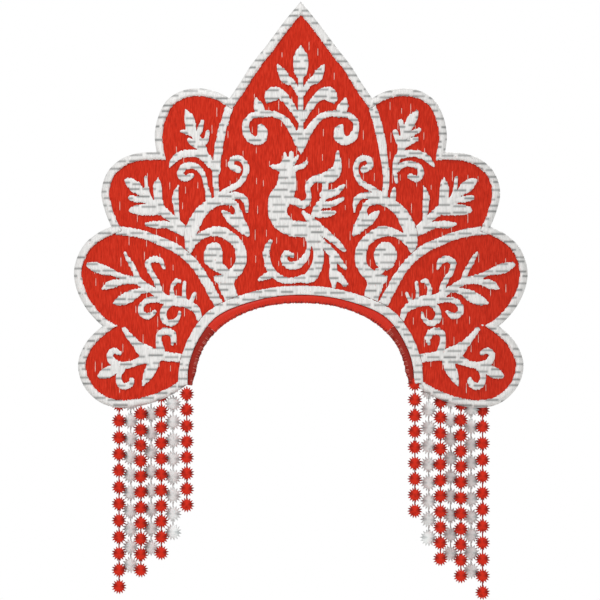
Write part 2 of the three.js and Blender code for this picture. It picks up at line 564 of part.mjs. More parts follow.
// A string hangs straight down from the crown's lower edge, turned about its own thread.
function stringProfile({ red, beaded, out, beads, ...heights }, drop) {
  const first = heights.first - drop;
  const last = heights.last - drop;
  const top = Math.min(hemHeight(out - THREAD_RADIUS), hemHeight(out + THREAD_RADIUS), ARCH_FOOT) - GAP;
  const radius = red ? RED_BEAD_RADIUS : SILVER_BEAD_RADIUS;
  if (!beaded) {
    return [[0, last - radius], [radius, last - radius], [radius, first + radius],
      [THREAD_RADIUS, first + radius], [THREAD_RADIUS, top], [0, top]];
  }
  const profile = [[0, last - radius]];
  for (let i = beads - 1; i >= 0; i -= 1) {
    const centre = first + (last - first) * i / (beads - 1);
    profile.push([THREAD_RADIUS, centre - radius]);
    profile.push([radius, centre - radius * GIRDLE]);
    profile.push([radius, centre + radius * GIRDLE]);
    profile.push([THREAD_RADIUS, centre + radius]);
  }
  profile.push([THREAD_RADIUS, top]);
  profile.push([0, top]);
  return profile;
}

for (const row of STRINGS) {
  const depth = MIDDLE + (row.red ? -ROW_OFFSET : ROW_OFFSET);
  for (const [hand, side] of [["left", -1], ["right", 1]]) {
    const drop = side > 0 ? RIGHT_DROP : 0;
    const profile = stringProfile(row, drop).map(([r, z]) => new THREE.Vector2(r, z));
    const geometry = new THREE.LatheGeometry(profile, BEAD_SIDES);
    geometry.rotateX(Math.PI / 2);
    geometry.translate(side * row.out, bendBack(row.out, depth), 0);
    addPiece(`${row.name}_${hand}`, geometry, row.red ? "redGlass" : "silverGlass");
  }
}

export default part;
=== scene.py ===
import math

import bpy
import numpy as np
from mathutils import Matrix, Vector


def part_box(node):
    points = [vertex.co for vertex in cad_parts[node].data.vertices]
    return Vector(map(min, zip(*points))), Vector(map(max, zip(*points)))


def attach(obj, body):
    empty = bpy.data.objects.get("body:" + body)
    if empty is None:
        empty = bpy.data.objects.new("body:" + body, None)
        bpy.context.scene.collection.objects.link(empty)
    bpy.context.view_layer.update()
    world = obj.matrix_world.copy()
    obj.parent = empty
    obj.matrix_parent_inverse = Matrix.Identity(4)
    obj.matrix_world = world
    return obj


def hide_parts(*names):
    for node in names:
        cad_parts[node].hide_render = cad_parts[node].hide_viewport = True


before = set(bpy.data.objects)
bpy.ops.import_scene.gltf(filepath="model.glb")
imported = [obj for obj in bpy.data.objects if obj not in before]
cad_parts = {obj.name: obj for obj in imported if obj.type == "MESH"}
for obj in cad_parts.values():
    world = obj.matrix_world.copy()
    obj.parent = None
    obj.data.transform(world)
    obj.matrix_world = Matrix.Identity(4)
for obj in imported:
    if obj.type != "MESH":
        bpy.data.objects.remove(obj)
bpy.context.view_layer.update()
MM = 0.001


# View and light
# The headdress is seen straight from the front through a long lens, so that its width shows true.
# The light is a soft studio tent with one large lamp above left that models the raised embroidery.
PHOTO_WIDTH = 420.0  # mm across the picture at the headdress
CAMERA_AWAY = 12.0  # m
SENSOR = 36.0
PICTURE_MIDDLE = (-0.56 * MM, 1.75 * MM)  # place on the headdress that the middle of the picture shows

camera_data = bpy.data.cameras.new("front_camera")
camera_data.sensor_width = SENSOR
camera_data.lens = SENSOR * CAMERA_AWAY / (PHOTO_WIDTH * MM)
camera_data.clip_end = 60.0
camera = bpy.data.objects.new("front_camera", camera_data)
camera.location = (PICTURE_MIDDLE[0], -CAMERA_AWAY, PICTURE_MIDDLE[1])
camera.rotation_euler = (math.pi / 2, 0.0, 0.0)
bpy.context.scene.collection.objects.link(camera)
bpy.context.scene.camera = camera
bpy.context.scene.view_settings.view_transform = "Standard"


def paint(hex_colour):
    """Linear RGBA of an sRGB hex colour."""
    parts = np.array([int(hex_colour[i:i + 2], 16) / 255 for i in (1, 3, 5)])
    linear = np.where(parts <= 0.04045, parts / 12.92, ((parts + 0.055) / 1.055) ** 2.4)
    return (*linear.tolist(), 1.0)


MIX_FIRST = 6  # inputs of the mix node that take its two colours
MIX_SECOND = 7


def add_node(tree, kind, sockets=(), **settings):
    """Adds a shader node with its settings. Each row of sockets is an input and what it gets: the output
    that feeds it, a node whose first output does, or else the value that it keeps."""
    node = tree.nodes.new(f"ShaderNode{kind}")
    for name, value in settings.items():
        setattr(node, name, value)
    for socket, source in sockets:
        if isinstance(source, bpy.types.Node):
            source = source.outputs[0]
        if isinstance(source, bpy.types.NodeSocket):
            tree.links.new(source, node.inputs[socket])
        else:
            node.inputs[socket].default_value = source
    return node


world = bpy.data.worlds.new("studio_tent")
world.use_nodes = True
world_tree = world.node_tree
world_tree.nodes.clear()
seen_white = add_node(world_tree, "Background", [("Color", paint("#FFFFFF")), ("Strength", 1.0)])
tent_glow = add_node(world_tree, "Background", [("Color", paint("#FBFAF8")), ("Strength", 0.5)])
ray = add_node(world_tree, "LightPath")
both = add_node(world_tree, "MixShader", [
    (0, ray.outputs["Is Camera Ray"]), (1, tent_glow), (2, seen_white)])
add_node(world_tree, "OutputWorld", [(0, both)])
bpy.context.scene.world = world


def add_lamp(name, place, size, power):
    """A square lamp at a place, aimed at the middle of the crown."""
    data = bpy.data.lights.new(name, "AREA")
    data.size = size
    data.energy = power
    lamp = bpy.data.objects.new(name, data)
    lamp.location = place
    away = np.array(place)
    lamp.rotation_euler = (
        math.atan2(math.hypot(away[0], away[1]), away[2]), 0.0, math.atan2(away[1], away[0]) + math.pi / 2)
    bpy.context.scene.collection.objects.link(lamp)


add_lamp("key_lamp", (-0.9, -1.3, 1.5), 0.7, 20.0)
add_lamp("fill_lamp", (1.4, -1.6, 0.5), 1.2, 7.0)
add_lamp("back_lamp", (0.5, 1.8, 1.0), 1.2, 16.0)


# Crown cloth
# A stiff card crown, bent round the head and covered with red satin-stitched cloth, with a plain red
# cotton lining. Five petals a side are joined under the edge braid, and the brow is cut to an arch.
BOARD_RADIUS = 310.0
BOARD_THICKNESS = 3.2
PUCKER = 0.12  # mm that the stitching draws the cloth in and out
MIDDLE = BOARD_THICKNESS / 2
GAP = 0.3
BRAID_WIDTH = 5.2
OGEE_BRAID_MORE = 0.4  # the braid is this much wider round the pointed petal
OUTLINE_STEP = 2.5  # mm between the points of an outline
PITCH = 0.5  # mm between grid lines
GRID_HALF_WIDTH = 163
GRID_BOTTOM = -78
GRID_TOP = 214
SNAP = 0.12  # share of a grid step within which a cut edge goes through the grid point itself
ARCH_HALF_WIDTH = 79.5
ARCH_HEIGHT = 60.5
ARCH_BASE = -55.0
ARCH_ROUNDNESS = 2.15
ARCH_FOOT = -58.0
FAR_BELOW = -100.0  # where the opening under the arch is closed, well below the crown
SHOULDER_RISE = 2.0  # the arch stands this much outside the superellipse at its two shoulders
SHOULDER_ANGLE = 44.0
SHOULDER_SPREAD = 14.0
ARCH_BRAID_WIDTH = 6.3

# Columns: out from the centre line, up from the origin. Side petals run on under their neighbours.
PETALS = {
    "ogee": {
        "heart": [(0, 20)],
        "edge": [(0, 210.7), (11, 197.5), (24, 180), (35, 166), (42.5, 154), (50, 143), (57, 133)],
    },
    "upper": {
        "heart": [(40, 60)],
        "edge": [(42, 138), (50, 143), (57, 147), (70, 150), (83, 148.5), (94, 141.5), (100.5, 128.5),
                 (102.4, 117), (101.2, 105.5), (99, 95)],
    },
    "middle": {
        "heart": [(50, 40)],
        "edge": [(91, 105), (100, 105.5), (115.5, 104.5), (127, 100), (136, 91), (140, 77), (137.5, 64.5),
                 (133, 53.2), (129.5, 46)],
    },
    "side": {
        "heart": [(70, 5)],
        "edge": [(124, 56), (133, 53.2), (143, 48.5), (153, 39.5), (159, 25), (158.5, 13), (151.5, -3),
                 (139.1, -16.5), (131, -21)],
    },
    "temple": {
        "heart": [(72, -58), (66, -5)],
        "edge": [(131, -11.5), (139.1, -16.5), (151, -28.5), (156.5, -43.5), (152.5, -58.5), (141, -70),
                 (126, -74), (108, -71.5), (92, -65.5), (79.3, -57.8), (73, -54)],
    },
}
CORE = [(0, 190), (50, 133), (95, 97), (126.5, 50), (127, -16), (86, -52), (62, -12), (0, 0)]


def bend(x, z, depth):
    """Metres in the frame of a point at x and z in the front view and at a depth behind the face of a
    sheet bent round a vertical axis: y is the radius less the leg of the right triangle on x."""
    y = BOARD_RADIUS - np.sqrt((BOARD_RADIUS - depth) ** 2 - x ** 2)
    return np.column_stack([np.ravel(v) for v in np.broadcast_arrays(x, y, z)]) * MM


def smooth_line(rows, step):
    """A centripetal Catmull-Rom curve through the rows: between rows b and c, with a and d beside them,
    each point blends a, b, c and d over knots spaced by the square root of the chord."""
    rows = np.array(rows, float)
    full = np.vstack([2 * rows[0] - rows[1], rows, 2 * rows[-1] - rows[-2]])
    knots = np.concatenate([[0], np.cumsum(np.sqrt(np.linalg.norm(np.diff(full, axis=0), axis=1)))])
    counts = np.maximum(2, np.ceil(np.linalg.norm(np.diff(rows[:, :2], axis=0), axis=1) / step)).astype(int)
    span = np.repeat(np.arange(len(counts)), counts)
    share = np.concatenate([np.arange(count) / count for count in counts])
    span = np.append(span, len(counts) - 1)
    share = np.append(share, 1.0)
    t0, t1, t2, t3 = (knots[span + i][:, None] for i in range(4))
    p0, p1, p2, p3 = (full[span + i] for i in range(4))
    t = t1 + (t2 - t1) * share[:, None]

    def blend(p, q, start, end):
        return (end - t) / (end - start) * p + (t - start) / (end - start) * q

    before, between, after = blend(p0, p1, t0, t1), blend(p1, p2, t1, t2), blend(p2, p3, t2, t3)
    return blend(blend(before, between, t0, t2), blend(between, after, t1, t3), t1, t2)


def distance_to_outline(x, z, outline):
    """Signed distance to a closed outline, negative inside: the least distance to any edge, with the
    sign from whether a ray towards +x crosses an odd number of edges."""
    least = np.full(x.shape, np.inf)
    inside = np.zeros(x.shape, bool)
    for (ax, az), (bx, bz) in zip(outline, np.roll(outline, -1, axis=0)):
        ex, ez = bx - ax, bz - az
        along = np.clip(((x - ax) * ex + (z - az) * ez) / max(ex * ex + ez * ez, 1e-9), 0, 1)
        least = np.minimum(least, (x - ax - along * ex) ** 2 + (z - az - along * ez) ** 2)
        if az != bz:
            inside ^= ((az > z) != (bz > z)) & (x < ax + (z - az) * ex / ez)
    return np.where(inside, -1.0, 1.0) * np.sqrt(least)


def inward_normals(line):
    """Unit normals to the right of a line's heading, which the central differences give."""
    heading = np.gradient(line, axis=0)
    heading /= np.linalg.norm(heading, axis=1)[:, None]
    return np.column_stack([heading[:, 1], -heading[:, 0]])


def petal_outline(name, inset):
    """A petal's smooth edge moved inwards by the inset along its normals, closed through its heart."""
    line = smooth_line(PETALS[name]["edge"], OUTLINE_STEP)
    if name == "ogee" and inset > 0:
        inset = inset + OGEE_BRAID_MORE
    drawn_in = line + inset * inward_normals(line)
    if name == "ogee":
        first = np.argmax(drawn_in[:, 0] > 0)
        (x1, z1), (x2, z2) = drawn_in[first - 1:first + 1]
        right = np.vstack([[0, z1 + x1 * (z1 - z2) / (x2 - x1)], drawn_in[first:]])
        left = right[:0:-1] * [-1, 1]
        return np.vstack([left, right, PETALS[name]["heart"]])
    return np.vstack([drawn_in, PETALS[name]["heart"]])


def crown_distance(x, z, inset):
    """Signed distance to the union of the petals drawn in by the inset, the least over the petals."""
    out = np.abs(x)
    parts = [distance_to_outline(out, z, petal_outline(name, inset)) for name in PETALS]
    if inset > 0:
        parts.append(distance_to_outline(out, z, np.array([(-p, q) for p, q in CORE[::-1]] + CORE, float)))
    return np.minimum.reduce(parts)


def shoulder(degrees):
    """How far up its shoulder the arch is: a bell curve on each side, 1 where the arch stands out most."""
    return np.exp(-((np.minimum(degrees, 180 - degrees) - SHOULDER_ANGLE) / SHOULDER_SPREAD) ** 2)


def arch_points(degrees, grow):
    """Points of the brow arch: the upper half of a superellipse with raised shoulders, grown outwards."""
    cosine, sine = np.cos(np.radians(degrees)), np.sin(np.radians(degrees))
    grown = grow + SHOULDER_RISE * shoulder(degrees)
    power = 2 / ARCH_ROUNDNESS
    x = (ARCH_HALF_WIDTH + grown) * np.sign(cosine) * np.abs(cosine) ** power
    return np.column_stack([x, ARCH_BASE + (ARCH_HEIGHT + grown) * np.abs(sine) ** power])


def evenly_spaced(rows, step):
    """Rows at equal distances along a line whose first two columns are its place."""
    run = np.concatenate([[0], np.cumsum(np.linalg.norm(np.diff(rows[:, :2], axis=0), axis=1))])
    even = np.linspace(0, run[-1], int(run[-1] / step) + 1)
    return np.column_stack([np.interp(even, run, column) for column in rows.T])


def arch_line(grow, step):
    """Points from the left foot to the right foot of the brow arch, which stands on short upright legs."""
    line = arch_points(np.linspace(180, 0, 2000), grow)
    return evenly_spaced(np.vstack([[(line[0, 0], ARCH_FOOT)], line, [(line[-1, 0], ARCH_FOOT)]]), step)


def arch_distance(x, z, grow):
    """Signed distance to the opening under the brow arch grown by a distance, negative in the opening."""
    line = arch_line(grow, OUTLINE_STEP)
    below = [(line[-1, 0], FAR_BELOW), (line[0, 0], FAR_BELOW)]
    return distance_to_outline(x, z, np.vstack([line, below]))


half_x = np.arange(0, GRID_HALF_WIDTH + PITCH, PITCH)
grid_z = np.arange(GRID_BOTTOM, GRID_TOP + PITCH, PITCH)
half_grid = np.meshgrid(half_x, grid_z, indexing="ij")


def mirrored(half):
    return np.concatenate([half[:0:-1], half])


grid_x = np.concatenate([-half_x[:0:-1], half_x])
rim = mirrored(crown_distance(*half_grid, 0.0))  # distance to the crown's own outline
field = mirrored(crown_distance(*half_grid, BRAID_WIDTH))  # distance to the red field's outline
brow = mirrored(arch_distance(*half_grid, 0.0))
brow_braid = mirrored(arch_distance(*half_grid, ARCH_BRAID_WIDTH))


def trimmed_sheet(distance, x):
    """Triangles of a grid cut off exactly where the distance turns positive. Each cell's two triangles
    are kept, dropped, or cut at the points where the distance along an edge is zero. Returns the
    points' grid weights, so that any grid value can be carried over, and the triangles."""
    rows, columns = distance.shape
    index = np.arange(rows * columns).reshape(rows, columns)
    a, b, c, d = index[:-1, :-1], index[1:, :-1], index[1:, 1:], index[:-1, 1:]
    cells = np.vstack([np.stack([a, b, c], -1).reshape(-1, 3), np.stack([a, c, d], -1).reshape(-1, 3)])
    value = distance.ravel().copy()
    value[np.abs(value) < SNAP * (x[1] - x[0])] = 0.0
    inside = value[cells] <= 0
    count = inside.sum(1)
    whole = cells[count == 3]
    odd_in = cells[count == 1]
    turn = np.argmax(value[odd_in] <= 0, axis=1)
    odd_in = odd_in[np.arange(len(odd_in))[:, None], (turn[:, None] + np.arange(3)) % 3]
    odd_out = cells[count == 2]
    turn = np.argmax(value[odd_out] > 0, axis=1)
    odd_out = odd_out[np.arange(len(odd_out))[:, None], (turn[:, None] + np.arange(3)) % 3]
    cuts = np.vstack([odd_in[:, [0, 1]], odd_in[:, [0, 2]], odd_out[:, [0, 1]], odd_out[:, [0, 2]]])
    keys, which = np.unique(np.sort(cuts, axis=1), axis=0, return_inverse=True)
    which = which.ravel() + rows * columns
    n, m = len(odd_in), len(odd_out)
    in_1, in_2 = which[:n], which[n:2 * n]
    out_1, out_2 = which[2 * n:2 * n + m], which[2 * n + m:]
    triangles = np.vstack([
        whole,
        np.column_stack([odd_in[:, 0], in_1, in_2]),
        np.column_stack([out_1, odd_out[:, 1], odd_out[:, 2]]),
        np.column_stack([out_1, odd_out[:, 2], out_2]),
    ])
    share = value[keys[:, 0]] / (value[keys[:, 0]] - value[keys[:, 1]])
    used, triangles = np.unique(triangles, return_inverse=True)
    triangles = triangles.reshape(-1, 3)
    first = np.concatenate([np.arange(rows * columns), keys[:, 0]])[used]
    second = np.concatenate([np.arange(rows * columns), keys[:, 1]])[used]
    weight = np.concatenate([np.zeros(rows * columns), share])[used]
    flat = (triangles[:, 0] == triangles[:, 1]) | (triangles[:, 1] == triangles[:, 2])
    flat |= triangles[:, 0] == triangles[:, 2]
    return (first, second, weight), triangles[~flat]


def carried(values, weights):
    """A grid's values at the points of a trimmed sheet, mixed between the two grid points of each."""
    first, second, share = weights
    flat = np.ravel(values)
    return flat[first] * (1 - share) + flat[second] * share


def make_mesh(name, points, faces, shades=None, slots=None, smooth=True):
    """A mesh object at the origin from point and triangle arrays, with an optional shade a point and an
    optional material index a face."""
    mesh = bpy.data.meshes.new(name)
    mesh.vertices.add(len(points))
    mesh.vertices.foreach_set("co", np.asarray(points, np.float32).ravel())
    mesh.loops.add(faces.size)
    mesh.loops.foreach_set("vertex_index", faces.ravel().astype(np.int32))
    mesh.polygons.add(len(faces))
    mesh.polygons.foreach_set("loop_start", np.arange(0, faces.size, faces.shape[1], dtype=np.int32))
    mesh.polygons.foreach_set("loop_total", np.full(len(faces), faces.shape[1], np.int32))
    if slots is not None:
        mesh.polygons.foreach_set("material_index", np.asarray(slots, np.int32))
    mesh.update(calc_edges=True)
    mesh.polygons.foreach_set("use_smooth", np.full(len(faces), smooth))
    if shades is not None:
        layer = mesh.attributes.new("shade", "FLOAT", "POINT")
        layer.data.foreach_set("value", np.asarray(shades, np.float32))
    mesh.validate()
    piece = bpy.data.objects.new(name, mesh)
    bpy.context.scene.collection.objects.link(piece)
    return piece


def layered_piece(name, distance, window, front, back, shade=None, step=1):
    """A closed solid over the part of the grid where the distance is negative. Its front and back follow
    two depths, and a wall joins them all round the cut edge."""
    part = (slice(window[0].start, window[0].stop, step), slice(window[1].start, window[1].stop, step))
    x, z = np.meshgrid(grid_x[part[0]], grid_z[part[1]], indexing="ij")
    weights, triangles = trimmed_sheet(distance[::step, ::step], grid_x[part[0]])
    px, pz = carried(x, weights), carried(z, weights)
    near = bend(px, pz, carried(front[::step, ::step], weights))
    far = bend(px, pz, carried(back[::step, ::step], weights))
    edges = np.vstack([triangles[:, [0, 1]], triangles[:, [1, 2]], triangles[:, [2, 0]]])
    span = len(px)
    forward = edges[:, 0] * span + edges[:, 1]
    backward = edges[:, 1] * span + edges[:, 0]
    rims = edges[~np.isin(forward, backward)]
    walls = np.vstack([
        np.column_stack([rims[:, 1], rims[:, 0], rims[:, 0] + span]),
        np.column_stack([rims[:, 1], rims[:, 0] + span, rims[:, 1] + span]),
    ])
    faces = np.vstack([triangles, triangles[:, ::-1] + span, walls])
    slots = np.concatenate([np.zeros(len(triangles)), np.ones(len(triangles)), np.zeros(len(walls))])
    shades = None
    if shade is not None:
        top = carried(shade[::step, ::step], weights)
        shades = np.concatenate([top, np.zeros(span)])
    return make_mesh(name, np.vstack([near, far]), faces, shades, slots)


def dress(piece, node, slot, *finishes):
    """Gives a piece its materials in order, hides the part of the node it stands for and puts it on
    the root body. The slot is not used.
    """
    for finish in finishes:
        piece.data.materials.append(finish)
    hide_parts(node)
    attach(piece, "root")


def scatter(a, b=0.0):
    """A steady value from 0 to 1 for each pair of whole numbers: the fraction of a large sine."""
    return np.modf(np.abs(np.sin(a * 127.1 + b * 311.7 + 7.3) * 43758.5453))[0]


def empty_material(name):
    """A new material and its node tree, still without nodes."""
    material = bpy.data.materials.new(name)
    material.use_nodes = True
    material.node_tree.nodes.clear()
    return material, material.node_tree


def cloth_material(name, dark, middle, light, rough, across, along, slant):
    """Woven or satin-stitched cloth: threads as long thin noise, across and along in mm."""
    material, tree = empty_material(name)
    place = add_node(tree, "TexCoord")
    stretch = add_node(tree, "Mapping", [
        (0, place.outputs["Object"]), ("Rotation", (0, slant, 0)),
        ("Scale", (1 / (across * MM), 1 / (across * MM), 1 / (along * MM)))])
    threads = add_node(tree, "TexNoise", [(0, stretch), ("Scale", 1.0), ("Detail", 2.0)])
    colour = add_node(tree, "ValToRGB", [(0, threads)])
    stops = colour.color_ramp.elements
    stops[0].position, stops[0].color = 0.34, paint(dark)
    stops[1].position, stops[1].color = 0.68, paint(light)
    stops.new(0.5).color = paint(middle)
    surface = add_node(tree, "BsdfPrincipled", [
        ("Base Color", colour), ("Roughness", rough), ("Specular IOR Level", 0.12)])
    add_node(tree, "OutputMaterial", [(0, surface)])
    return material


# Rayon satin stitch: smooth filament thread with a soft gloss. Real thread is 0.4 mm, drawn 0.7 mm
# wide so that it shows, and leans off upright as a machine lays it.
satin_cloth = cloth_material("red_rayon_satin", "#BC2611", "#D12D17", "#DE3A24", 0.6, 0.7, 5.5, 0.22)
# Plain cotton lining: matt, with an even short weave.
cotton_lining = cloth_material("red_cotton_lining", "#8E1A10", "#A82317", "#B42C1F", 0.85, 0.9, 1.1, 0)

everywhere = (slice(0, len(grid_x)), slice(0, len(grid_z)))
all_x, all_z = np.meshgrid(grid_x, grid_z, indexing="ij")
pucker = PUCKER * np.sin(all_x / 5.3 + 1.5 * np.sin(all_z / 11.0)) * np.sin(all_z / 7.1)
cloth = layered_piece(
    "crown_cloth", np.maximum(field, -brow), everywhere, pucker + PUCKER,
    np.full(all_x.shape, BOARD_THICKNESS), step=3)
dress(cloth, "crown_board", "red_cloth", satin_cloth, cotton_lining)


# Pale glints in the cloth
# Between the satin threads the pale underlay shows as short upright slits, one to each patch of cloth,
# and their pale colour is also a painted glint of light on the satin. Each is a thin sliver laid on the
# red face.
GLINT_SPACING = (9.4, 18.5)
GLINT_WIDTH = 0.42
GLINT_MARGIN = 5.5  # mm at least from a glint's middle to the braids
GLINT_PROUD = 0.14
GLINT_SUNK = 0.3

cells_x, cells_z = np.meshgrid(np.arange(-18, 19), np.arange(-5, 13), indexing="ij")
cells_x, cells_z = cells_x.ravel(), cells_z.ravel()
glint_x = (cells_x + 0.15 + 0.7 * scatter(cells_x, cells_z)) * GLINT_SPACING[0]
glint_z = (cells_z + 0.2 + 0.6 * scatter(cells_z, cells_x + 40)) * GLINT_SPACING[1]
glint_half = 1.8 + 2.4 * scatter(cells_x + 11, cells_z - 3)


def grid_value(values, x, z):
    """The nearest grid value at places in the front view."""
    i = np.clip(np.rint((x - grid_x[0]) / PITCH).astype(int), 0, len(grid_x) - 1)
    j = np.clip(np.rint((z - grid_z[0]) / PITCH).astype(int), 0, len(grid_z) - 1)
    return values[i, j]


clear = grid_value(field, glint_x, glint_z) < -GLINT_MARGIN
clear &= grid_value(brow_braid, glint_x, glint_z) > GLINT_MARGIN
glint_x, glint_z, glint_half = glint_x[clear], glint_z[clear], glint_half[clear]
corner_x = np.array([-1, 1, 1, -1, 0, 0]) * GLINT_WIDTH / 2
corner_z = np.array([-0.7, -0.7, 0.7, 0.7, -1, 1])
sliver_x = glint_x[:, None] + corner_x
sliver_z = glint_z[:, None] + corner_z * glint_half[:, None]
tops = bend(sliver_x, sliver_z, np.full(sliver_x.shape, -GLINT_PROUD))
bottoms = bend(sliver_x, sliver_z, np.full(sliver_x.shape, GLINT_SUNK))
ring = np.array([4, 1, 2, 5, 3, 0])  # the corners in order round a sliver
nxt = np.roll(ring, -1)
low = len(tops)
fan = np.column_stack([np.full(4, ring[0]), ring[1:-1], ring[2:]])
wall = [np.column_stack([nxt, ring, ring + low]), np.column_stack([nxt, ring + low, nxt + low])]
one = np.vstack([fan, fan[:, ::-1] + low, *wall])
faces = (one[None] + 6 * np.arange(len(glint_x))[:, None, None]).reshape(-1, 3)
glints = make_mesh("underlay_glints", np.vstack([tops, bottoms]), faces, smooth=False)
# Bleached cotton underlay seen between threads, its pale colour also a painted glint on the satin: matt
# and a little pink from the red beside it.
underlay = cloth_material("pale_underlay_and_painted_glint", "#E0998A", "#EDBDB1", "#F6DAD2", 0.8, 0.5, 3.0, 0.0)
glints.data.materials.append(underlay)
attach(glints, "root")


# Edge braid
# A padded satin braid in silver-white thread, bound round the scalloped edge of the card. It is full and
# round at the outside, thins towards the red cloth, and its threads stand upright in staggered rows.
ROW = 5.05  # mm between the rows of stitch ends
BLOCK = 11.5  # mm across a block of stitches that ends on one line
LINE = 0.82  # mm from the middle of a line of stitch ends to where it has faded
SHOWN = 0.92  # share of the blocks that show a line
SHORTEST = 0.82  # least share of its block that a line runs across
LONGER = 0.16  # how much more of it a line may run across
SOFT_END = 0.08  # share of the block over which a line's end fades


def stitch_ends(x, z):
    """How much a place lies in a row of stitch ends, from 0 to 1. Rows are ROW apart, and each is
    broken into blocks whose line is moved up or down, with soft ends, and some of them missing."""
    row = np.floor(z / ROW)
    across = x / BLOCK + scatter(row) * 3
    block = np.floor(across)
    inside = across - block
    line = 0.5 + 0.5 * (scatter(row, block) - 0.5)
    depth = np.exp(-(((z / ROW - row) - line) * ROW / LINE) ** 2)
    length = SHORTEST + LONGER * scatter(block + 5, row)
    ends = np.clip(np.minimum(inside, length - inside) / SOFT_END, 0, 1)
    return depth * ends * (0.7 + 0.3 * scatter(block, row + 9)) * (scatter(row + 3, block) < SHOWN)


THREAD_WIDTH = 0.62
THREAD_LENGTH = 9.0


def frayed(x, z, reach):
    """A ragged edge: a different small distance for each upright thread."""
    thread = np.floor(x / THREAD_WIDTH)
    return reach * (2 * scatter(thread, np.floor(z / THREAD_LENGTH)) - 1)


def silver_material(name):
    """Silver-white satin thread: the shade attribute mixes in painted grey shade along the sunk stitch
    ends, and small flecks of the red cloth show between threads."""
    material, tree = empty_material(name)
    shade = add_node(tree, "Attribute", attribute_name="shade")
    place = add_node(tree, "TexCoord")
    stretch = add_node(tree, "Mapping", [(0, place.outputs["Object"]), ("Scale", (1000, 1000, 130))])
    threads = add_node(tree, "TexNoise", [(0, stretch), ("Scale", 1.0), ("Detail", 2.0)])
    white = add_node(tree, "ValToRGB", [(0, threads)])
    stops = white.color_ramp.elements
    stops[0].position, stops[0].color = 0.32, paint("#E0E0DF")
    stops[1].position, stops[1].color = 0.6, paint("#F7F6F5")
    flecks = add_node(tree, "Mapping", [(0, place.outputs["Object"]), ("Scale", (1500, 1500, 620))])
    fleck_noise = add_node(tree, "TexNoise", [(0, flecks), ("Scale", 1.0)])
    fleck_share = add_node(tree, "MapRange", [(0, fleck_noise), ("From Min", 0.69), ("From Max", 0.75)])
    specked = add_node(tree, "Mix", [
        (0, fleck_share), (MIX_FIRST, white), (MIX_SECOND, paint("#CF6A5B"))],
        data_type="RGBA")
    # Painted shade: grey mixed in along the sunk lines of stitch ends.
    colour = add_node(tree, "Mix", [
        (0, shade.outputs["Fac"]), (MIX_FIRST, specked.outputs[2]), (MIX_SECOND, paint("#838585"))],
        data_type="RGBA")
    surface = add_node(tree, "BsdfPrincipled", [
        ("Base Color", colour.outputs[2]), ("Roughness", 0.45), ("Specular IOR Level", 0.4)])
    add_node(tree, "OutputMaterial", [(0, surface)])
    return material


# Silver-white viscose thread: bright, with a silky gloss, and grey painted shade only in sunk stitch ends.
silver_thread = silver_material("silver_viscose_satin")
PADDING = 1.5
BRAID_HALF = MIDDLE + GAP + PADDING
BRAID_EDGE = 0.35  # half the braid's thickness at its very edge
ROUND_OUTSIDE = 3.0
ROUND_INSIDE = 1.8
DENT = 0.3  # how deep a line of stitch ends lies in the front of the satin
BRAID_FRAY = 0.45


def dome(distance, reach):
    """A quarter of an ellipse: 0 at the edge and 1 from the reach inwards."""
    return np.sqrt(1 - (1 - np.clip(distance / reach, 0, 1)) ** 2)


# The lines of stitch ends sink the satin and also set where grey shade is painted on it.
ends = stitch_ends(all_x, all_z)
half = BRAID_EDGE + (BRAID_HALF - BRAID_EDGE) * dome(-rim, ROUND_OUTSIDE)
lift = dome(field, ROUND_INSIDE)
braid_front = MIDDLE - half * lift - (MIDDLE + GAP) * (1 - lift) + DENT * ends
braid_back = MIDDLE + half * lift + (MIDDLE + GAP) * (1 - lift) - DENT / 2 * ends
braid_front = np.minimum(braid_front, MIDDLE - 0.1)
braid_back = np.maximum(braid_back, MIDDLE + 0.1)
ragged = frayed(all_x, all_z, BRAID_FRAY)
braid_distance = np.maximum.reduce([rim, -field + ragged - 0.15, -brow_braid + GAP / 3])
edge_braid = layered_piece("edge_braid_satin", braid_distance, everywhere, braid_front, braid_back, ends)
dress(edge_braid, "edge_braid", "silver_thread", silver_thread, silver_thread)


# Arch braid
# The same silver braid along the brow, flat on the face of the crown. Below the arch's base it is kept a
# small gap inside the crown's own outline.
ARCH_ROUND = 2.2
ARCH_PADDING = 1.7
STITCH_BACK = 0.05  # how far raised stitching reaches into the cloth
STITCH_BASE = 0.1  # how far the edge of raised stitching stands off the board's face


def raised(distance, reach, base, height):
    """Depth of a padded surface: at its edge 0.35 of the height in front of the base, and from the reach
    inwards all of it."""
    return base - height * (0.35 + 0.65 * dome(-distance, reach))


hem = np.where(all_z < ARCH_BASE, rim + GAP, -1.0)
arch_braid_distance = np.maximum.reduce([-brow, brow_braid + 0.6 * ragged, hem])
arch_front = raised(arch_braid_distance, ARCH_ROUND, -STITCH_BASE, ARCH_PADDING) + DENT * ends
arch_braid = layered_piece(
    "arch_braid_satin", arch_braid_distance, everywhere, arch_front,
    np.full(all_x.shape, STITCH_BACK), ends)
dress(arch_braid, "arch_braid", "silver_thread", silver_thread, silver_thread)


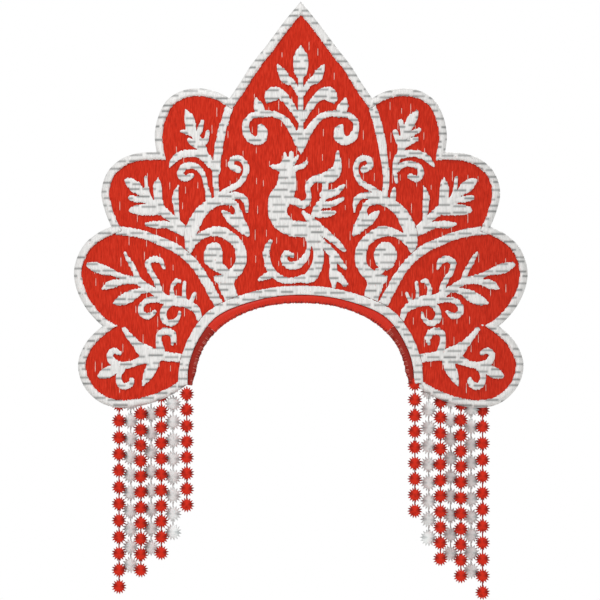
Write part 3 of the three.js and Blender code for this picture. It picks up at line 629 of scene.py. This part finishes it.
# Raised embroidery
# Silver satin stitch over a felt padding, sewn to the face. Each stroke is a smooth line with a width,
# and strokes of one motif run together. Columns of every table: out (or x), up, width, in mm.
PALMETTE_STEM = [(0, 104, 0.6), (0, 109, 5.6), (0, 115.5, 10), (0, 121, 4.5), (0, 140, 4.2), (0, 158, 4.3),
                 (0, 161.5, 8.5), (0, 166, 11), (0, 170.5, 10.5), (0, 175, 6.3), (0, 179.5, 0.8)]
PALMETTE = [
    [(1, 146, 3.5), (6, 153.5, 4.2), (10.6, 156.6, 6.6), (13, 160.6, 6.2), (16, 166, 1.8)],
    [(1, 127.5, 3.2), (6.3, 136.8, 5), (10.3, 142.2, 5.8), (15.3, 146.2, 7.8), (19.8, 145.8, 9.8),
     (22.6, 142.8, 5.4), (23.3, 140, 1.6)],
    [(0.5, 109, 4.2), (4, 117, 5), (7.5, 123, 5), (12.5, 129, 4.5), (19.5, 132, 4.2), (27.5, 132, 4.5),
     (34.5, 130.5, 4.2), (38.5, 126, 4.5), (38.5, 120.5, 5), (36, 115.5, 5.6), (31.5, 113.2, 6),
     (27.8, 115.2, 7.6), (26.8, 119.8, 7.2), (28.2, 122.9, 4)],
    [(27, 132, 5), (29.4, 136.3, 7.2), (30.7, 139.8, 4.6), (31.2, 143.2, 0.8)],
]
FIREBIRD = [
    [(-9.5, 98, 8.5), (-9.5, 89, 11.5), (-10.5, 80, 14), (-15, 71.5, 15.2), (-16.5, 64.5, 13.5),
     (-14, 57.5, 12.5), (-7.5, 52.4, 11.2), (0, 51.4, 11.4), (6, 50.8, 10.8)],
    [(-12, 94.2, 7.4), (-17, 94.8, 4.2), (-21.5, 95.6, 1)],
    [(-10.5, 98, 4), (-11, 104, 2.3)],
    [(-7, 98, 4), (-6.8, 104.6, 3)],
    [(-7, 96, 4), (-2, 102.5, 2)],
    [(-7, 92, 4), (-2, 94.5, 3.5), (2, 96, 3.5), (4, 98.8, 1.8)],
    [(-8.5, 72.5, 5.2), (-3, 70.3, 5.2), (1.5, 68.5, 5.3), (5.2, 71.4, 4), (5.7, 75.5, 3.6), (5, 80, 3.8),
     (6.5, 84, 4.5), (10.5, 86.5, 5), (16, 87, 7), (21.5, 89, 9), (25.5, 94, 6.6), (26, 99.5, 4.2),
     (26, 105.5, 2)],
    [(17, 86, 5), (17, 78.5, 4), (16, 73.5, 3.8), (14.4, 69.5, 4.8), (11, 65, 5.2), (9.4, 61.5, 4.2)],
    [(16.5, 75.5, 6.4), (21.5, 76.4, 5.8), (25.5, 78, 4.8), (30, 82, 2.4)],
    [(13, 68.5, 5.2), (20, 68.6, 4.2), (26.5, 71.2, 3.6), (29.3, 72.8, 2.4)],
    [(9.5, 62, 4.5), (14, 61.8, 4.8), (19, 62.2, 4.4), (23.3, 63, 2.6)],
    [(1.5, 63, 2.5), (5.5, 59, 5), (9.5, 54.5, 7), (14.5, 50.5, 6.3), (25, 42, 4.5), (30.5, 36.5, 2.5)],
    [(10, 47, 5.6), (16, 40.9, 5), (20.9, 35.9, 5.6), (25.9, 30.3, 4.9), (30.9, 24.3, 2.4)],
    [(19.3, 37.5, 3.2), (22.3, 31.5, 4.9), (23, 25, 5.2), (23, 19.5, 6.3), (23.3, 11, 3)],
    [(23, 22, 5), (27, 17.5, 5.6), (31, 13, 3.9)],
    [(7, 49, 10), (12, 39, 7.4), (12.5, 32, 7), (10.8, 24.5, 7.8), (7, 18.2, 8.2), (-1.5, 16.2, 4.5),
     (-8.5, 15.3, 4.5), (-15, 17, 5), (-21, 22.5, 5.2), (-23.5, 29.5, 4.5), (-24, 36.5, 4.5),
     (-21, 43, 2.8)],
    [(-19.5, 20.5, 5.6), (-24.5, 18, 4.5), (-29, 16, 2)],
    [(4.5, 47, 4.2), (5.5, 40.5, 3), (4.5, 34.5, 3.5), (1, 29, 5), (-3.5, 26, 5.6), (-9, 26.5, 5.4),
     (-12, 30.5, 4.5), (-10, 34.5, 4.2), (-6.3, 33, 3.4)],
]
VINE = [
    [(46.5, 146, 5.6), (52, 131, 5.6), (55.5, 118.5, 5.6), (58, 104.5, 5.6), (59.5, 90.5, 4.5),
     (59, 75, 4.2)],
    [(78.5, 36, 4), (77.5, 41.5, 7.7), (77, 49, 8.8), (73.6, 57.2, 9), (69.1, 64.2, 8), (62.8, 69.1, 7.2),
     (56, 71.8, 7), (50.5, 72, 5.6)],
    [(57, 75, 4.2), (49.5, 79.7, 4), (42.6, 83.8, 4), (39, 89.6, 4), (38.6, 96, 4), (42.4, 100.8, 4),
     (47.4, 100.4, 4), (48.7, 96, 4.2), (43.8, 93, 4.6)],
    [(50.5, 74.5, 5), (45, 75, 4.5), (40.5, 73.5, 4.2), (38, 69.5, 3.8), (37.5, 63.5, 1.5)],
    [(52, 70.5, 4.2), (47, 69.5, 4.2), (44, 64.5, 4.2), (43.7, 59.2, 7.2), (40.8, 52.8, 7.8),
     (37.2, 47.8, 3.2)],
    [(42, 53, 6.3), (48, 57.5, 6.3), (51.5, 61, 5), (54.5, 63.5, 2)],
    [(77, 42, 7), (70, 46.5, 5.2), (63, 49.5, 6.3), (56, 49.5, 7.4), (49.5, 46, 7), (44.5, 41.5, 7),
     (42, 35, 7.7), (42, 28, 7.7), (45, 22.5, 7.7), (50, 17.5, 9), (52, 12, 11), (49.5, 5.5, 10),
     (48.5, 1, 10)],
    [(52, 17, 7), (57, 16, 6.3), (59.5, 17.5, 2.8)],
]
VINE_LEFT = [
    [(50, 19.5, 5), (58.8, 26.3, 8.4), (61.6, 31.6, 13), (61, 35.6, 12.2), (59.4, 38.4, 6)],
    [(64, 71, 5), (66, 80, 3.4), (67.6, 87, 3.5), (70.6, 93, 3.8), (76, 96, 4.8), (81.6, 95, 4.8),
     (84.5, 90.5, 4.6), (81.5, 87, 4.5), (76.4, 88.8, 4)],
    [(59, 93.5, 5.6), (65, 99.5, 6), (67.6, 104.5, 5.2), (69.6, 109, 6), (74, 117.5, 5.4)],
    [(73.6, 117, 4.2), (76.8, 122, 6.6), (77.7, 127.5, 7.2), (80.4, 135.2, 1)],
    [(73, 116.5, 4.2), (70.6, 121.5, 3.6), (69.2, 127, 2.3)],
    [(69.5, 111, 5), (66.5, 114, 3.6), (65, 119.2, 2.7)],
    [(73, 117, 3.6), (78.5, 119, 3.5), (83, 120, 2.8)],
    [(70, 109.5, 5), (75, 111.5, 4.5), (78.5, 114, 2.5)],
    [(66, 101, 6.3), (71, 104, 5.2), (78, 104.5, 5.2), (84, 103.5, 5), (89, 100, 4.5), (92, 95, 1)],
]
VINE_RIGHT = [
    [(50, 18, 7), (57, 24, 5), (59.2, 30, 14), (59.2, 34, 15.6), (59.4, 37.6, 10)],
    [(64, 71, 5), (65, 76.5, 3.6), (65.5, 80, 2)],
]
UPPER_SPRIG_RIGHT = [
    [(67, 84.5, 2.5), (66, 92.5, 3.5), (67, 99.5, 4.2), (70, 105.5, 5), (71, 111.5, 5.6), (71.8, 116.5, 5)],
    [(72, 115.5, 4.2), (75, 122.5, 6.3), (78.5, 129, 6.6), (81.5, 133.5, 2.8)],
    [(72, 115.5, 4.2), (71, 122, 3.9), (70, 127, 2.8)],
    [(70.5, 111, 5), (67.5, 115.5, 4.2), (66, 119.5, 3.5)],
    [(72, 115.5, 4.2), (78, 118.5, 4.2), (83, 121, 2.8)],
    [(71.5, 109.6, 4.6), (77, 113, 4.6), (81.3, 114.6, 3)],
    [(69, 103, 5), (77, 104.5, 5), (84, 103.5, 5), (88.5, 101, 4.5), (93, 96, 2)],
    [(66.5, 92.5, 4), (71, 96.2, 4), (77, 97.2, 4), (82.6, 94.9, 4), (84.2, 90.5, 4.2), (81.5, 86.6, 4.4),
     (76.8, 88.2, 4)],
]
MID_SPRIG = [
    [(100.5, 67.5, 7), (96, 63.5, 6.6), (91, 59.5, 5.6), (86.5, 55.5, 5.6), (80, 48.5, 6.3)],
    [(102.5, 69, 3.5), (112, 77.5, 5.6), (116.5, 81.5, 8), (120.5, 84.5, 5.6), (123.5, 86, 1)],
    [(104, 69, 3.6), (107.5, 77, 3.3), (109, 87.6, 2.3)],
    [(99.5, 67, 6.6), (100.1, 74, 6.4), (100.6, 80.5, 6.2), (100.2, 87.3, 1)],
    [(102, 68.5, 4.2), (110, 72, 4.2), (115.5, 72.5, 4.5), (120, 73.5, 3)],
    [(99.5, 65, 7.4), (111.5, 65, 7.7), (117, 65, 5.2), (120, 64.5, 1.4)],
    [(86, 53, 3.8), (86.8, 60, 3.5), (87.4, 67, 3.8), (87.9, 73.5, 4.8), (86, 81.8, 0.8)],
    [(81.5, 48.5, 4.5), (87.5, 51.8, 5.2), (94.5, 54.5, 5), (102.5, 54.5, 5), (108.5, 55, 2)],
]
LOBE_RIB = [
    [(131, 51, 6.3), (112, 48, 5.6), (96, 42, 6), (87.5, 38, 6.3), (79.5, 32, 6), (73, 25, 6),
     (67, 16, 6.3), (58.5, 0.5, 6.6), (55, -5, 6.6)],
]
LEAF_SPRAY = [
    [(68, -16, 4.2), (71, -11, 4.2), (73, -5.5, 5), (78.5, -1.5, 6), (85.5, 1, 7.4), (94, 2, 7),
     (99.5, 5.5, 5.6), (105, 9.5, 4.5), (115.5, 15.5, 5)],
    [(115, 15.3, 5), (125, 18, 4.2), (132, 21, 4.2), (139, 23, 7), (144.5, 25, 6.6), (149, 26.5, 3.5)],
    [(112, 14, 4.3), (119, 14.9, 3.7), (127, 14.2, 4.2), (133, 12.7, 6), (139, 9.8, 1.4)],
    [(104, 9.2, 3), (113, 7.8, 4.6), (119.3, 4.5, 7.8), (125.8, 1.5, 6.8), (130.8, -0.2, 1.8)],
    [(113.5, 14.5, 4.2), (116, 21.5, 3.8), (119.8, 28, 3.5), (123.3, 34.8, 1.7)],
    [(98, 4.5, 4.5), (101.5, 15.5, 3.9), (105.6, 22, 3.7), (107, 27.5, 4.2), (103.4, 30.4, 4.2),
     (98.3, 29.2, 4), (96, 24, 2)],
    [(89.5, 3, 3.5), (90.4, 10, 2.8), (87.4, 15.2, 3), (84.8, 14.8, 2.5)],
    [(81.5, 0.5, 3.5), (81.8, 7.5, 2.8), (81.2, 13.8, 2.3)],
    [(77.5, -1, 3.2), (75.7, 3.3, 2.7), (74.3, 6.3, 2.3)],
    [(94.5, 1.5, 5.6), (101.8, 2, 4), (108, 1.2, 4), (111.7, -2.8, 4), (111.3, -7.6, 4.3),
     (107.2, -9.6, 4.6), (102.5, -6.5, 2.6)],
    [(90, 0.5, 5), (94.5, -3, 4.5), (96.5, -8, 4.5), (95, -12.8, 4.5), (90.5, -14.5, 4.5), (86, -11, 3),
     (85, -7, 1.8)],
]
LOW_SPRAY = [
    [(82, -39, 6), (92.5, -38, 6.3), (101.5, -36.5, 7.7), (109.3, -34.2, 9.4), (114.8, -29.6, 6),
     (119.6, -24.3, 4.6), (124, -18.8, 3.3)],
    [(104, -38, 8.4), (111, -40, 6.3), (118, -43, 4.5), (125.5, -44, 5), (132, -41.5, 5), (134.3, -37, 4.2),
     (131.5, -33.8, 4.2), (127, -35.5, 3.2)],
    [(125, -44.5, 5), (132, -47.5, 7), (136.5, -49.5, 7.7), (141, -51.5, 3.5)],
    [(124.5, -44.5, 5), (127.8, -51, 4), (127.3, -56, 4.5), (124, -58.8, 4.8), (119.5, -57, 4.2),
     (118.5, -54, 3)],
    [(102.5, -38, 9), (104.3, -45, 7.8), (107, -50.5, 7.2), (110.5, -58, 1)],
    [(98, -35, 5.6), (99.5, -27.5, 4.5), (99, -22.5, 4.5), (95.5, -20, 5), (91, -21.2, 5), (89, -25, 4.2),
     (90, -29, 2)],
]
STITCH_THICKNESS = 1.2
PADDING_REACH = 2.4
MOTIF_FRAY = 0.4
MOTIF_DENT = 0.28
MARGIN = 9.0  # mm of grid kept round a motif
DISC_REACH = 11.0  # mm of grid that is measured to each side of a disc's centre


def stroke_points(strokes, side):
    """Columns x, z and half width of all the strokes, close enough together to run into one shape."""
    line = np.vstack([smooth_line(rows, 0.7) for rows in strokes])
    return line * [side, 1, 0.5]


def window_round(points):
    """The slices of the grid that hold the points with a margin."""
    corner = [grid_x[0], grid_z[0]]
    low = np.maximum(np.floor((points[:, :2].min(0) - MARGIN - corner) / PITCH).astype(int), 0)
    high = np.ceil((points[:, :2].max(0) + MARGIN - corner) / PITCH).astype(int)
    return slice(low[0], min(high[0], len(grid_x))), slice(low[1], min(high[1], len(grid_z)))


def stroke_distance(points, window):
    """Signed distance to a chain of discs, negative inside: the least of the distances to their centres
    less their radii. Each disc is measured only on the grid near it."""
    distance = np.full((window[0].stop - window[0].start, window[1].stop - window[1].start), MARGIN)
    xs, zs = grid_x[window[0]], grid_z[window[1]]
    reach = int(DISC_REACH / PITCH)
    for x, z, radius in points:
        i = int((x - xs[0]) / PITCH)
        j = int((z - zs[0]) / PITCH)
        near = (slice(max(i - reach, 0), i + reach), slice(max(j - reach, 0), j + reach))
        away = np.hypot(xs[near[0], None] - x, zs[None, near[1]] - z) - radius
        distance[near] = np.minimum(distance[near], away)
    return distance


def embroider(node, points, clearances=()):
    """One motif: its strokes, trimmed clear of the braids and of its neighbours, padded to a dome."""
    window = window_round(points)
    distance = stroke_distance(points, window)
    distance += frayed(all_x[window], all_z[window], MOTIF_FRAY)
    distance = np.maximum.reduce([distance, field[window] + GAP, GAP - brow_braid[window]])
    for other in clearances:
        distance = np.maximum(distance, GAP - stroke_distance(other, window))
    front = raised(distance, PADDING_REACH, -STITCH_BASE, STITCH_THICKNESS + STITCH_BASE)
    front += MOTIF_DENT * ends[window]
    back = np.full(front.shape, STITCH_BACK)
    piece = layered_piece(f"{node}_satin", distance, window, front, back, ends[window])
    dress(piece, node, "silver_thread", silver_thread, silver_thread)


embroider("palmette", np.vstack([
    stroke_points([PALMETTE_STEM], 1), stroke_points(PALMETTE, 1), stroke_points(PALMETTE, -1)]))
embroider("firebird", stroke_points(FIREBIRD, 1))
for hand, side, own in (("left", -1, VINE_LEFT), ("right", 1, VINE_RIGHT)):
    rib = stroke_points(LOBE_RIB, side)
    vine = stroke_points(VINE + own, side)
    embroider(f"lobe_rib_{hand}", rib)
    embroider(f"vine_{hand}", vine, [rib])
    embroider(f"mid_sprig_{hand}", stroke_points(MID_SPRIG, side), [vine, rib])
    embroider(f"leaf_spray_{hand}", stroke_points(LEAF_SPRAY, side), [rib])
    embroider(f"low_spray_{hand}", stroke_points(LOW_SPRAY, side))
embroider("upper_sprig_right", stroke_points(UPPER_SPRIG_RIGHT, 1))


# Brow and temple rolls
# Cord padding wound closely with satin thread and sewn to the arch's edge: bright red over the brow, dark
# red at the temples, where each roll tapers out at its foot. Stray turns stand out along its inner edge.
ROLL_RADIUS = 2.65
ROLL_FOOT_RADIUS = 1.3
ROLL_TAPER_START = -48.0  # height below which the dark rolls grow thinner
COLOUR_CHANGE = 37.0  # degrees up the arch where the bright roll meets the dark one
COLOUR_GAP = 0.04
WINDING = 1.0  # mm between turns, drawn wider than real thread so that they show
STRAY_REACH = 0.6  # mm that a stray turn stands out at most
ROLL_SIDES = 24


def roll_line(first, last):
    """Columns x, z and half width along a roll's middle between two angles up the arch. The roll fills
    the arch's shoulder and grows thinner towards its foot, to which it is carried straight down."""
    degrees = np.linspace(first, last, 1500)
    height = arch_points(degrees, 0)[:, 1]
    full = np.clip((height - ARCH_FOOT) / (ROLL_TAPER_START - ARCH_FOOT), 0, 1)
    half = ROLL_FOOT_RADIUS + (ROLL_RADIUS - ROLL_FOOT_RADIUS) * full
    half = half + SHOULDER_RISE * shoulder(degrees) / 2
    rows = np.column_stack([arch_points(degrees, -GAP - half), half])
    foot = np.array([ARCH_HALF_WIDTH - GAP - ROLL_FOOT_RADIUS, ARCH_FOOT, ROLL_FOOT_RADIUS])
    if first == 180:
        rows = np.vstack([foot * [-1, 1, 1], rows])
    if last == 0:
        rows = np.vstack([rows, foot])
    return evenly_spaced(rows, 0.3)


def tube_faces(rows, columns):
    """Triangles of a tube whose rows of points run round it, closed by a fan to one more point at each
    end. They face outwards where the columns turn clockwise as seen from the tube's last row."""
    index = np.arange(rows * columns).reshape(rows, columns)
    nxt = np.roll(index, -1, axis=1)
    a, b, c, d = index[:-1], nxt[:-1], nxt[1:], index[1:]
    first, last = np.full(columns, index.size), np.full(columns, index.size + 1)
    return np.vstack([
        np.stack([a, c, b], -1).reshape(-1, 3), np.stack([a, d, c], -1).reshape(-1, 3),
        np.column_stack([first, index[0], nxt[0]]), np.column_stack([last, nxt[-1], index[-1]])])


def roll_surface(name, rows):
    """A tube round a line in the front view, from left to right. Across it the angle starts at the board
    side, its half width swells on each turn of thread, and stray turns reach further on its inner side."""
    line, half = rows[:, :2], rows[:, 2:]
    inward = inward_normals(line)
    run = np.concatenate([[0], np.cumsum(np.linalg.norm(np.diff(line, axis=0), axis=1))])[:, None]
    angle = np.linspace(0, 2 * math.pi, ROLL_SIDES, endpoint=False)
    turns = np.abs(np.sin(math.pi * run / WINDING)) ** 0.6
    turn = np.floor(run / WINDING)
    inner = np.clip(-np.cos(angle), 0, 1)[None]
    outer = np.clip(np.cos(angle), 0, 1)[None]
    across = half * (0.96 + 0.06 * turns) + inner ** 2 * (0.15 + STRAY_REACH * turns * scatter(turn))
    across = np.where(outer > 0.5, half + GAP * outer * 0.85, across)
    off = -across * np.cos(angle)
    flat = np.sign(np.sin(angle)) * np.abs(np.sin(angle)) ** 0.5
    depth = MIDDLE + np.minimum(half, ROLL_RADIUS) * (0.95 + 0.05 * turns) * flat
    grid = bend(line[:, :1] + inward[:, :1] * off, line[:, 1:] + inward[:, 1:] * off, depth)
    caps = bend(line[[0, -1], 0], line[[0, -1], 1], np.full(2, MIDDLE))
    # Painted shade: deep between turns, more on the inner side, darkest on every other turn's inner edge.
    shaded_teeth = (inner > 0.6) & (turn % 2 == 0)
    dark = np.clip((1 - turns) * (0.4 + 0.8 * inner ** 2) + 0.9 * shaded_teeth, 0, 1)
    # Painted glint: a pale colour on stray hairs.
    hairs = (scatter(turn + 50) > 0.5) & (turns > 0.86) & (inner > 0.15)
    shades = np.append(np.where(hairs, 0.0, 0.2 + 0.8 * dark).ravel(), [0.5, 0.5])
    return make_mesh(name, np.vstack([grid, caps]), tube_faces(len(line), ROLL_SIDES), shades)


def wound_material(name, pale, bright, deep):
    """Satin thread wound round a cord: a painted pale glint on stray hairs, bright on each turn, and deep
    painted shade between turns.
    """
    material, tree = empty_material(name)
    shade = add_node(tree, "Attribute", attribute_name="shade")
    colour = add_node(tree, "ValToRGB", [(0, shade.outputs["Fac"])])
    stops = colour.color_ramp.elements
    stops[0].color = paint(pale)
    stops[1].color = paint(deep)
    stops.new(0.2).color = paint(bright)
    surface = add_node(tree, "BsdfPrincipled", [
        ("Base Color", colour), ("Roughness", 0.5), ("Specular IOR Level", 0.25)])
    add_node(tree, "OutputMaterial", [(0, surface)])
    return material


# Rayon satin thread, wound: silky, bright on the brow and dark at the temples.
bright_winding = wound_material("bright_red_satin_winding", "#E43D27", "#DE2E18", "#7E1208")
dark_winding = wound_material("dark_red_satin_winding", "#C9796D", "#A2200F", "#741409")
stretches = {
    "brow_roll": (180 - COLOUR_CHANGE - COLOUR_GAP, COLOUR_CHANGE + COLOUR_GAP,
                  bright_winding, "bright_satin"),
    "temple_roll_left": (180, 180 - COLOUR_CHANGE + COLOUR_GAP, dark_winding, "dark_satin"),
    "temple_roll_right": (COLOUR_CHANGE - COLOUR_GAP, 0, dark_winding, "dark_satin"),
}
for node, (first, last, winding, slot) in stretches.items():
    roll = roll_surface(f"{node}_winding", roll_line(first, last))
    dress(roll, node, slot, winding)


# Head band
# A plain band of card covered in red cotton that stands back from the arch and sits on the head, with
# turned and rounded edges.
BAND_OUTSIDE = -1.4
BAND_THICKNESS = 2.0
BAND_FRONT = MIDDLE + ROLL_RADIUS + GAP
BAND_DEPTH = 36.0


def band_surface(name):
    """A flat loop carried along the arch: two flat sides and two round edges, its long way in depth."""
    line = arch_line(BAND_OUTSIDE - BAND_THICKNESS / 2, 1.5)
    outward = -inward_normals(line)
    half_thick, half_long = BAND_THICKNESS / 2, (BAND_DEPTH - BAND_THICKNESS) / 2
    round_off = np.linspace(-math.pi / 2, math.pi / 2, 7)
    straight = np.linspace(-half_long, half_long, 13)[1:-1]
    bulge = half_long + np.cos(round_off) * half_thick
    long_way = np.concatenate([bulge, straight[::-1], -bulge, straight])
    flat = np.ones(len(straight))
    thick_way = np.concatenate([np.sin(round_off), flat, -np.sin(round_off), -flat]) * half_thick
    x = line[:, :1] + outward[:, :1] * thick_way
    z = line[:, 1:] + outward[:, 1:] * thick_way
    depth = np.broadcast_to(BAND_FRONT + BAND_DEPTH / 2 + long_way, x.shape)
    caps = bend(line[[0, -1], 0], line[[0, -1], 1], np.full(2, BAND_FRONT + BAND_DEPTH / 2))
    return make_mesh(name, np.vstack([bend(x, z, depth), caps]), tube_faces(*x.shape)[:, ::-1])


dress(band_surface("head_band_cotton"), "head_band", "band_cloth", cotton_lining)


# Bead strings
# Pressed-glass rosette beads with ribs that run from front to back, on threads at the temples: small red
# ones in the front row and larger silver ones behind. Each string hangs from the braid, and its top bead
# is tucked half behind the hem, as far back as its tuck says. Heights are of beads' middles, in mm.
STRINGS = [
    {"node": "red_string_1", "first": -83.1, "last": -199.3, "beads": 11, "tuck": 7.5},
    {"node": "silver_string_1", "first": -83.1, "last": -184.1, "beads": 9, "tuck": 0.0},
    {"node": "red_string_2", "first": -78.2, "last": -187.6, "beads": 11, "tuck": 7.0},
    {"node": "silver_string_2", "first": -78.2, "last": -171.9, "beads": 8, "tuck": 0.0},
    {"node": "red_string_3", "first": -76.5, "last": -175.4, "beads": 10, "tuck": 6.5},
    {"node": "silver_string_3", "first": -70.9, "last": -160.8, "beads": 8, "tuck": 0.0},
    {"node": "red_string_4", "first": -64.2, "last": -141.8, "beads": 8, "tuck": 3.2},
]
RIGHT_DROP = 4.1  # the strings at +X hang this much lower
RIBS = 15
RIB_DEPTH = 0.38  # share of the radius
BEAD_FLATNESS = 0.5
THREAD = 0.45
THREAD_SIDES = 8


def rosette(radius):
    """A bead from pole to pole along y: the radius across is the sine of the angle from the pole to the
    power 0.7, cut in between its narrow ribs, and y is the flattened cosine. Columns start at the top."""
    polar = np.linspace(0, math.pi, 9)[1:-1, None]
    around = np.linspace(0, 2 * math.pi, 4 * RIBS, endpoint=False)[None]
    valley = 0.5 - 0.5 * np.cos(RIBS * around)
    across = radius * np.sin(polar) ** 0.7 * (1 - RIB_DEPTH * valley * np.sin(polar) ** 2)
    pole = radius * BEAD_FLATNESS
    y = -pole * np.cos(polar) * np.ones(around.shape)
    points = np.column_stack([np.ravel(v) for v in (across * np.sin(around), y, across * np.cos(around))])
    points = np.vstack([points, [0, -pole, 0], [0, pole, 0]])
    return points, tube_faces(polar.size, around.size), polar, around, valley


def sectors(polar, around, valley, middle, spread, tip):
    """Painted shade of a bead's points: bell curves round two directions, the middle to each side of the
    top, with each rib's tip darker by the tip's share, and the valleys between ribs a little darker."""
    side = np.minimum(around, 2 * math.pi - around)
    shade = np.exp(-((side - math.radians(middle)) / math.radians(spread)) ** 2) * np.sin(polar) ** 0.15
    shade = np.maximum(shade, tip * (1 - 0.4 * valley) * np.sin(polar) ** 5)
    return np.append((0.9 * shade + 0.1 * valley).ravel(), [0.1, 0.1])


def glass_material(name, deep, bright, rough):
    """Opaque pressed glass: deep in its painted-shade sectors, with cloudy streaks from bead to bead."""
    material, tree = empty_material(name)
    shade = add_node(tree, "Attribute", attribute_name="shade")
    place = add_node(tree, "TexCoord")
    cloud = add_node(tree, "TexNoise", [(0, place.outputs["Object"]), ("Scale", 260.0), ("Detail", 1.0)])
    patchy = add_node(tree, "MapRange", [
        (0, cloud), ("From Min", 0.54), ("From Max", 0.7), ("To Max", 0.5)])
    total = add_node(tree, "Math", [(0, shade.outputs["Fac"]), (1, patchy)],
                     operation="MAXIMUM", use_clamp=True)
    colour = add_node(tree, "Mix", [
        (0, total), (MIX_FIRST, paint(bright)), (MIX_SECOND, paint(deep))], data_type="RGBA")
    surface = add_node(tree, "BsdfPrincipled", [
        ("Base Color", colour.outputs[2]), ("Roughness", rough), ("IOR", 1.5),
        ("Specular IOR Level", 0.12)])
    add_node(tree, "OutputMaterial", [(0, surface)])
    return material


# Opaque red and silver-grey glass: hard, with a soft sheen on each rib.
red_glass = glass_material("pressed_red_glass", "#7E1209", "#E0301B", 0.5)
silver_glass = glass_material("pressed_silver_glass", "#B2B9BA", "#FCFFFF", 0.5)
# Red linen thread: matt.
red_linen = cloth_material("red_linen_thread", "#A81D12", "#C22A1C", "#CF3A2A", 0.8, 0.5, 0.8, 0.0)


# Columns: radius in mm, and the painted shade's middle and spread in degrees with its share at the tips.
BEADS = {
    "red": {"radius": 5.5, "shade": (76, 36, 0.95), "finishes": (red_glass, red_linen)},
    "silver": {"radius": 6.15, "shade": (90, 25, 0.55), "finishes": (silver_glass, silver_thread)},
}


def hang_string(node, row, drop, bead, slot):
    """All the beads of one string and its thread as one mesh, at the place of its solid in the frame."""
    low, high = (np.array(corner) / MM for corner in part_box(node))
    x, y = (low[0] + high[0]) / 2, (low[1] + high[1]) / 2
    points, faces, *shape = rosette(bead["radius"])
    shade = sectors(*shape, *bead["shade"])
    heights = np.linspace(row["first"], row["last"], row["beads"]) - drop
    back = np.zeros(len(heights))
    above = 2 * heights[0] - heights[1]
    if above < ARCH_BASE:
        heights, back = np.append(above, heights), np.append(row["tuck"], back)
    order = np.arange(len(heights))
    turn = scatter(order, x) * math.pi / RIBS
    cosine, sine = np.cos(turn)[:, None], np.sin(turn)[:, None]
    beads = np.stack([
        x + points[:, 0] * cosine + points[:, 2] * sine,
        y + points[:, 1] + back[:, None],
        heights[:, None] - points[:, 0] * sine + points[:, 2] * cosine,
    ], -1).reshape(-1, 3)
    bead_faces = (faces[None] + (order * len(points))[:, None, None]).reshape(-1, 3)
    around = np.linspace(0, 2 * math.pi, THREAD_SIDES, endpoint=False)
    ring = np.column_stack([x + THREAD * np.cos(around), y + THREAD * np.sin(around)])
    thread = np.column_stack([np.vstack([ring, ring]), np.repeat([heights[-1], high[2]], THREAD_SIDES)])
    here = np.arange(THREAD_SIDES)
    there = np.roll(here, -1)
    lid = np.column_stack([np.zeros(THREAD_SIDES - 2, int), here[1:-1], here[2:]])
    thread_faces = np.vstack([
        np.column_stack([here, there, there + THREAD_SIDES]),
        np.column_stack([here, there + THREAD_SIDES, here + THREAD_SIDES]),
        lid[:, [0, 2, 1]], lid + THREAD_SIDES]) + len(beads)
    shades = np.append(np.tile(shade, len(heights)), np.zeros(len(thread)))
    slots = np.repeat([0, 1], [len(bead_faces), len(thread_faces)])
    piece = make_mesh(f"{node}_beads", np.vstack([beads, thread]) * MM,
                      np.vstack([bead_faces, thread_faces]), shades, slots)
    dress(piece, node, slot, *bead["finishes"])


for row in STRINGS:
    colour = row["node"].split("_")[0]
    for hand, drop in (("left", 0.0), ("right", RIGHT_DROP)):
        hang_string(f"{row['node']}_{hand}", row, drop, BEADS[colour], f"{colour}_glass")


# Floor
# A plain pale disc, well below the strings and small enough to stay out of the front view. It is staged,
# so it isn't part of the headdress.
FLOOR_RADIUS = 0.85
FLOOR_HEIGHT = -0.27
FLOOR_SIDES = 96
around = np.linspace(0, 2 * math.pi, FLOOR_SIDES, endpoint=False)
disc = np.vstack([np.column_stack([np.cos(around), np.sin(around)]) * FLOOR_RADIUS, [0, 0]])
disc = np.column_stack([disc, np.full(len(disc), FLOOR_HEIGHT)])
here = np.arange(FLOOR_SIDES)
fan = np.column_stack([here, np.roll(here, -1), np.full(FLOOR_SIDES, FLOOR_SIDES)])
floor = make_mesh("floor", disc, fan, smooth=False)
floor_paint = cloth_material("pale_floor_paint", "#EAEAE8", "#EBEBE9", "#ECECEA", 0.9, 3.0, 3.0, 0.0)
floor.data.materials.append(floor_paint)
